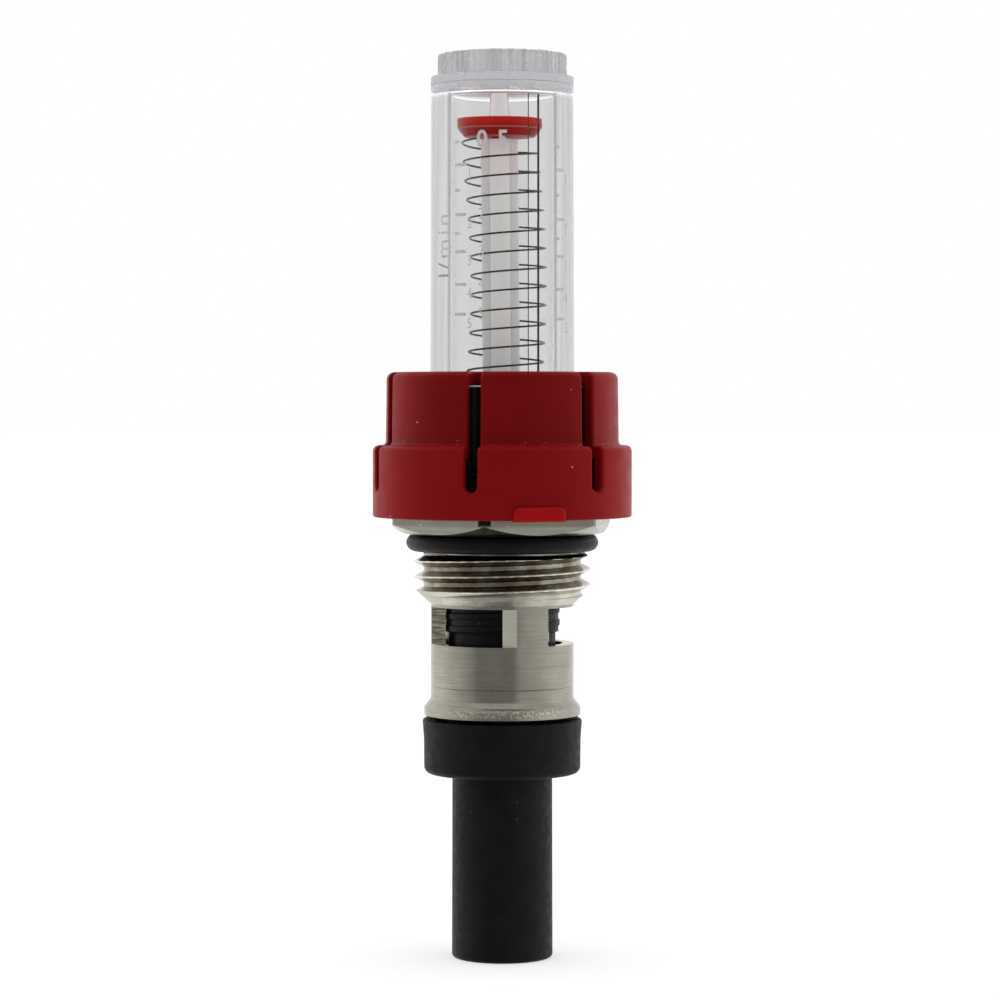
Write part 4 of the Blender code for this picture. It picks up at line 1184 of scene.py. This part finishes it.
def make_scale():
    marks = scale_column(-35.0)
    marks += scale_column(53.0, drop=0.5)
    unit = glyph_mesh("l/min", 3.1, INK_DEPTH, 0.98, upright=False)
    wrapped(unit, -54.0, 33.65, glass_radius(33.65))
    marks.append(unit)
    zero = 45.75
    for text, bearing in (("0", -16.3), ("5", 0.4)):
        glyph = glyph_mesh(text, 2.8, INK_DEPTH, 0.95, bold=0.06)
        wrapped(glyph, bearing, zero, glass_radius(zero))
        marks.append(glyph)
    for number, height in enumerate(TICK_HEIGHTS, start=1):
        glyph = glyph_mesh(str(number), 1.9, INK_DEPTH, 0.8)
        wrapped(glyph, -16.6, height, glass_radius(height))
        marks.append(glyph)
    new_piece("scale_print", joined("scale_print_mesh", marks), INK, "wheel", "white_plastic", sharp=30)


# ---------------------------------------------------------------- spindle


def make_spindle():
    hex_r = hexagon(10.0)
    groove_r = 5.4

    def hex_row(limit):
        return lambda bearing: np.minimum(hex_r(bearing), limit)

    def thread_row(height):
        def radius(bearing):
            form = thread_radius(bearing, height, SPINDLE_R, 0.16, 1.5, -4.9, 32.0, 0.3)
            foot = 6.3 + (height + 11.9) * 1.25
            top = 6.2 + (-3.1 - height) * 1.2
            x = SPINDLE_R * np.sin(bearing)
            y = -SPINDLE_R * np.cos(bearing)
            worn = 0.02 * ripple(x, y, np.full_like(x, height), 0.6)
            return np.minimum(np.minimum(form, foot), np.maximum(top, 6.2)) + worn

        return radius, height

    rows = [
        (hex_row(5.2), 8.2),
        (hex_row(5.65), 7.95),
        (hex_row(5.77), 7.7),
        (hex_row(5.77), 2.5),
        *rounded([
            (5.9, 2.3), (SPINDLE_R, 2.3, 0.1), (SPINDLE_R, 1.4, 0.05), (groove_r, 1.4, 0.05),
            (groove_r, -0.5, 0.05), (SPINDLE_R, -0.5, 0.05), (SPINDLE_R, -1.1, 0.05), (groove_r, -1.1, 0.05),
            (groove_r, -3.0, 0.05), (6.75, -3.0, 0.1), (6.75, -3.3),
        ], closed=False),
        *[thread_row(-3.35 - 0.06 * i) for i in range(138)],
        *rounded([
            (6.3, -11.7), (6.3, -14.6, 0.2), (3.2, -14.6, 0.1), (3.2, -16.3, 0.03), (2.9, -16.3, 0.03),
            (2.9, -17.05, 0.03), (3.2, -17.05, 0.05), (3.2, -17.4, 0.1), (2.5, -17.4, 0.1), (2.5, 8.2, 0.1),
            (4.6, 8.2),
        ], closed=False),
    ]
    turned("spindle", rows, BLACK_SPINDLE, "spindle", "black_plastic")


# ---------------------------------------------------------------- float


def make_float():
    rod = rounded([
        (0.0, 44.6), (1.1, 44.6, 0.1), (1.1, 46.3, 0.1), (ROD_R, 46.3, 0.15), (ROD_R, 9.8, 0.1),
        (1.2, 8.8, 0.1), (1.2, -24.8), (1.6, -25.0, 0.05), (1.6, -25.45, 0.05), (1.2, -25.45),
        (1.2, -26.45), (0.9, -26.45), (0.9, -27.05), (1.2, -27.05), (1.2, -27.4, 0.2), (0.0, -27.4),
    ], closed=False)
    turned("indicator_rod", rod, MILKY, "float", "white_plastic", SMALL_ROUND, closed=False)
    neck = DISC_TOP + 0.2
    tip = rounded([
        (0.0, TIP_TOP), (1.05, TIP_TOP, 0.25), (1.27, neck, 0.08), (0.8, neck), (0.8, 44.9, 0.1), (0.0, 44.9),
    ], closed=False)
    turned("indicator_tip", tip, PINK_CLEAR, "float", "pink_clear_plastic", SMALL_ROUND, closed=False,
           sharp=50)
    disc = rounded([
        (5.0, DISC_TOP, 0.12), (5.0, DISC_LINE + 0.09, 0.10), (4.82, DISC_LINE + 0.03, 0.03),
        (4.86, DISC_LINE - 0.07, 0.05), (4.15, DISC_BOTTOM, 0.15), (1.1, DISC_BOTTOM, 0.05),
        (1.1, DISC_TOP, 0.1),
    ])
    turned("indicator_disc", disc, RED_DISC, "float", "red_disc_plastic")
    baffle = rounded([(3.6, -25.6, 0.15), (3.6, -26.3, 0.1), (1.3, -26.3, 0.05), (1.3, -25.6, 0.05)])
    turned("baffle_disc", baffle, WHITE, "float", "white_plastic", SMALL_ROUND)


# ---------------------------------------------------------------- lock cap


def cap_stations():
    """Rows down the cap's wall: outer radius and height, outward direction, inner radius and height."""
    rows = []
    ceiling = CAP_CEILING
    upper_bore = CAP_UPPER_FOOT_R - CAP_WALL - 0.05
    lower_bore = CAP_LOWER_R - CAP_WALL
    lower_ceiling = CAP_STEP - CAP_WALL - 0.15

    def bend(centre, radius, inner_centre, inner_radius, start, end, steps, facing=1):
        for i in range(steps + 1):
            angle = math.radians(start + (end - start) * i / steps)
            c, s = math.cos(angle), math.sin(angle)
            rows.append((centre[0] + radius * c, centre[1] + radius * s, facing * c, facing * s,
                         inner_centre[0] + inner_radius * c, inner_centre[1] + inner_radius * s))

    edge = 0.25
    bend((CAP_HOLE_R + edge, CAP_TOP - edge), edge, (CAP_HOLE_R + edge, ceiling), 0.0, 180, 90, 4)
    rows[0] = (*rows[0][:4], CAP_HOLE_R, ceiling)
    for radius in (10.6, 11.6):
        rows.append((radius, CAP_TOP, 0.0, 1.0, radius, ceiling))
    crown = 0.9
    bend((CAP_UPPER_TOP_R - crown, CAP_TOP - crown), crown, (upper_bore - 0.1, ceiling - 0.1), 0.1, 90, 0, 7)
    for height in (16.0, 14.0, 12.5):
        share = (CAP_TOP - crown - height) / (CAP_TOP - crown - CAP_STEP)
        radius = CAP_UPPER_TOP_R + (CAP_UPPER_FOOT_R - CAP_UPPER_TOP_R) * share
        rows.append((radius, height, 1.0, 0.0, upper_bore, height))
    fillet = 0.5
    bend((CAP_UPPER_FOOT_R + fillet, CAP_STEP + fillet), fillet, (upper_bore + 0.8, lower_ceiling + 0.8), 0.8,
         180, 270, 5, -1)
    shoulder = 0.7
    bend((CAP_LOWER_R - shoulder, CAP_STEP - shoulder), shoulder,
         (lower_bore - 0.1, lower_ceiling - 0.1), 0.1, 90, 0, 6)
    for height in (8.4, 7.2, 3.4, 2.7):
        rows.append((CAP_LOWER_R, height, 1.0, 0.0, lower_bore, height))
    foot = 0.2
    bend((CAP_LOWER_R - foot, CAP_BOTTOM + foot), foot, (lower_bore, CAP_BOTTOM + foot), 0.0, 0, -90, 3)
    rows[-1] = (*rows[-1][:4], lower_bore, CAP_BOTTOM)
    return np.array(rows)


class CapWall:
    """Finds points on the cap's outside and inside from a distance down its wall and a sideways offset.

    start and end are the distances down to the middles of a slot's round ends, and beside holds the rows
    in between.
    """

    def __init__(self):
        table = cap_stations()
        steps = np.hypot(np.diff(table[:, 0]), np.diff(table[:, 1]))
        self.down = np.concatenate([[0.0], np.cumsum(steps)])
        self.table = table
        self.start = self.across_top(CAP_SLOT_INNER_R + CAP_SLOT_WIDTH / 2)
        self.end = self.lower(CAP_SLOT_FOOT + CAP_SLOT_WIDTH / 2)
        self.beside = [d for d in self.down if self.start + 0.05 < d < self.end - 0.05]

    def across_top(self, radius):
        """The distance down the wall at which it reaches a radius on the flat top."""
        return self.down[4] + radius - self.table[4, 0]

    def lower(self, height):
        """The distance down the wall at which it reaches a height on the lower wall."""
        row = next(i for i, line in enumerate(self.table) if line[0] > CAP_LOWER_R - 1e-6 and line[2] > 0.999)
        return self.down[row] + self.table[row, 1] - height

    def point(self, down, offset, sector, sink=0.0, inside=False):
        """A point offset sideways from a slot's middle, or by an angle from it where offset is a pair."""
        columns = [np.interp(down, self.down, self.table[:, k]) for k in range(6)]
        radius = columns[4] if inside else columns[0] - sink * columns[2]
        height = columns[5] if inside else columns[1] - sink * columns[3]
        if isinstance(offset, tuple):
            edge, share = offset
            half = math.asin(edge / radius)
            angle = half + (2 * math.pi / CAP_SLOTS - 2 * half) * share
        else:
            angle = math.asin(offset / radius)
        angle += math.radians(CAP_SLOT_BEARING) + 2 * math.pi * sector / CAP_SLOTS
        return radius * math.sin(angle), -radius * math.cos(angle), height


def cap_slot_path(wall, half_width):
    """Offsets and distances down one side of a slot, from its inner end to its foot, at a half width."""
    quarter = [math.pi / 2 * i / 5 for i in range(6)]
    path = [(half_width * math.sin(a), wall.start - half_width * math.cos(a)) for a in quarter]
    path += [(half_width, d) for d in wall.beside]
    path += [(half_width * math.cos(a), wall.end + half_width * math.sin(a)) for a in quarter]
    return path


def slot_row(wall, sector, side, out, **where):
    """Points along one side of a slot, set back from it by a distance."""
    path = cap_slot_path(wall, CAP_SLOT_WIDTH / 2 + out)
    return [wall.point(down, side * x, sector, **where) for x, down in path]


def cap_face(shell, wall, sector, inside):
    """One sector's outside or inside: the field between two slots, and the patches past a slot's ends."""
    edge = CAP_EDGE
    reach = 1.55
    start, end = wall.start, wall.end
    top_edge = max(start - reach, wall.down[4] + 0.02)
    foot_edge = end + reach
    spans = 4
    inner_rows = [start + (top_edge - start) * i / spans for i in range(spans, 0, -1)]
    foot_rows = [end + (foot_edge - end) * i / spans for i in range(1, spans + 1)]
    middle = [start, *wall.beside, end]
    before = [d for d in wall.down if d < top_edge - 1e-6]
    after = [d for d in wall.down if d > foot_edge + 0.05]
    columns = 16
    field = []
    for down in before + inner_rows + middle + foot_rows + after:
        field.append([wall.point(down, (edge, share / columns), sector, inside=inside)
                      for share in range(columns + 1)])
    shell.grid(field)
    angles = [math.pi * i / 10 for i in range(11)]
    for centre, sign, rim, rest in ((start, -1, top_edge, before[::-1]), (end, 1, foot_edge, after)):
        patch = []
        for i in range(spans + 1):
            row = []
            for a in angles:
                x = edge * math.cos(a)
                arc = centre + sign * edge * math.sin(a)
                row.append(wall.point(arc + (rim - arc) * i / spans, x, sector, inside=inside))
            patch.append(row)
        for down in rest:
            patch.append([wall.point(down, edge * math.cos(a), sector, inside=inside) for a in angles])
        shell.grid(patch)


def make_lock_cap():
    wall = CapWall()
    shell = Shell()
    lip_steps = 5
    for sector in range(CAP_SLOTS):
        cap_face(shell, wall, sector, inside=False)
        cap_face(shell, wall, sector, inside=True)
        for side in (1, -1):
            lips = []
            for i in range(lip_steps + 1):
                turn = math.pi / 2 * (lip_steps - i) / lip_steps
                out, sink = CAP_LIP * (1 - math.cos(turn)), CAP_LIP * (1 - math.sin(turn))
                lips.append(slot_row(wall, sector, side, out, sink=sink))
            for out in (0.0, CAP_LIP):
                lips.append(slot_row(wall, sector, side, out, inside=True))
            shell.grid(lips)
        across = [CAP_EDGE * math.cos(math.pi * i / 10) for i in range(11)]
        shares = [(CAP_EDGE, share / 16) for share in range(17)]
        for down in (wall.down[0], wall.down[-1]):
            for offsets in (across, shares):
                shell.grid([[wall.point(down, x, sector, inside=inside) for x in offsets]
                            for inside in (False, True)])
    mesh = shell.mesh("lock_cap_mesh", 0.002)
    mesh = cut(mesh, tab_mesh(), "UNION")
    new_piece("lock_cap_visual", mesh, RED_CAP, "cap", "red_cap_plastic", "lock_cap", sharp=35)


def tab_mesh():
    """The lift tab: a flat block with rounded upper corners on the cap's lower wall."""
    width = 6.1
    bottom = CAP_BOTTOM - 0.12
    top = 3.55
    corner = 0.75
    root = CAP_LOWER_R - 0.6
    tip = CAP_LOWER_R + 0.9
    turn = math.radians(TAB_BEARING)
    outline = rounded([
        (-width / 2, bottom, 0.12), (width / 2, bottom, 0.12), (width / 2, top, corner),
        (-width / 2, top, corner),
    ], steps=6)
    middle = (bottom + top) / 2

    def layer(reach, shrink):
        points = []
        for x, z in outline:
            px = x * (1 - shrink / (width / 2))
            pz = middle + (z - middle) * (1 - shrink / ((top - bottom) / 2))
            reach_here = reach - (CAP_LOWER_R - math.sqrt(CAP_LOWER_R ** 2 - px ** 2))
            points.append((px * math.cos(turn) + reach_here * math.sin(turn),
                           px * math.sin(turn) - reach_here * math.cos(turn), pz))
        return points

    edge = 0.42
    layers = [layer(root, 0.0), layer(tip - edge, 0.0)]
    for i in range(1, 5):
        angle = math.pi / 2 * i / 4
        layers.append(layer(tip - edge * (1 - math.sin(angle)), edge * (1 - math.cos(angle))))
    shell = Shell()
    shell.grid(layers, closed=True)
    shell.cover(layers[0])
    shell.cover(layers[-1])
    return shell.mesh("lift_tab_mesh")


# ---------------------------------------------------------------- stage, light and camera


def make_floor():
    mesh = bpy.data.meshes.new("floor_mesh")
    half = 6.0
    corners = [(-half, -half, 0), (half, -half, 0), (half, half, 0), (-half, half, 0)]
    mesh.from_pydata(corners, [], [(0, 1, 2, 3)])
    floor = bpy.data.objects.new("floor", mesh)
    bpy.context.scene.collection.objects.link(floor)
    s = Surface("floor_paper", roughness=0.9)
    s.set(Base_Color=(0.82, 0.82, 0.82), Specular_IOR_Level=0.0)
    path = s.add("LightPath")
    s.set(Emission_Color=(1.0, 1.0, 1.0))
    s.set(Emission_Strength=s.remap(path.outputs["Is Camera Ray"], 0.0, 1.0, 0.1, 0.45))
    s.pass_rays(path.outputs["Is Glossy Ray"], (1.0, 1.0, 1.0))
    mesh.materials.append(s.material)


def make_light():
    """A light tent: white behind, above and at both sides, darker where the camera looks in."""
    world = bpy.data.worlds.new("light_tent")
    bpy.context.scene.world = world
    world.use_nodes = True
    n = Nodes(world.node_tree)
    parts = n.add("SeparateXYZ", Vector=n.add("TexCoord").outputs["Generated"]).outputs
    bearing = n.maths("ARCTAN2", parts["X"], n.maths("MULTIPLY", parts["Y"], -1.0))
    ramp = n.add("ValToRGB", Fac=n.maths("ADD", n.maths("DIVIDE", bearing, 2 * math.pi), 0.5))
    stops = [(-180, 0.95), (-115, 1.20), (-80, 0.90), (-50, 0.56), (-42, 0.36), (20, 0.32), (26, 0.62),
             (60, 0.82), (100, 1.20), (180, 0.95)]
    elements = ramp.color_ramp.elements
    elements[0].position = 0.0
    elements[1].position = 1.0
    for element, (_, level) in zip(elements, (stops[0], stops[-1])):
        element.color = (level, level, level, 1.0)
    for degrees, level in stops[1:-1]:
        elements.new((degrees + 180) / 360).color = (level, level, level, 1.0)
    from_above = 0.75
    overhead = n.blend(n.remap(parts["Z"], 0.25, 0.9), ramp.outputs["Color"], from_above)
    # The camera itself sees plain white.
    level = n.blend(n.add("LightPath").outputs["Is Camera Ray"], overhead, 1.0)
    back = n.tree.nodes["Background"]
    n.feed(back.inputs["Strength"], level)
    back.inputs["Color"].default_value = (1.0, 1.0, 1.0, 1.0)


def make_camera():
    """Level with the middle of the cap and tilted a little down, at the distance of a close-up shot."""
    data = bpy.data.cameras.new("photo_camera")
    data.lens = 118.8
    data.sensor_width = 36.0
    data.clip_start = 0.01
    camera = bpy.data.objects.new("photo_camera", data)
    bpy.context.scene.collection.objects.link(camera)
    side = -0.27 * MM
    distance = 0.390
    target = Vector((side, 0.0, (SHOULDER + 3.9) * MM))
    camera.location = (side, -distance, (SHOULDER + 15.8) * MM)
    camera.rotation_euler = (target - camera.location).to_track_quat("-Z", "Y").to_euler()
    bpy.context.scene.camera = camera
    bpy.context.scene.view_settings.view_transform = "Standard"


make_valve_body()
make_seals()
make_outlet_tube()
make_stop_ring()
make_clips()
make_handwheel()
make_sight_glass()
make_scale_sleeve()
make_end_plug()
make_spring_seat()
make_spring()
make_scale()
make_spindle()
make_float()
make_lock_cap()
make_floor()
make_light()
make_camera()
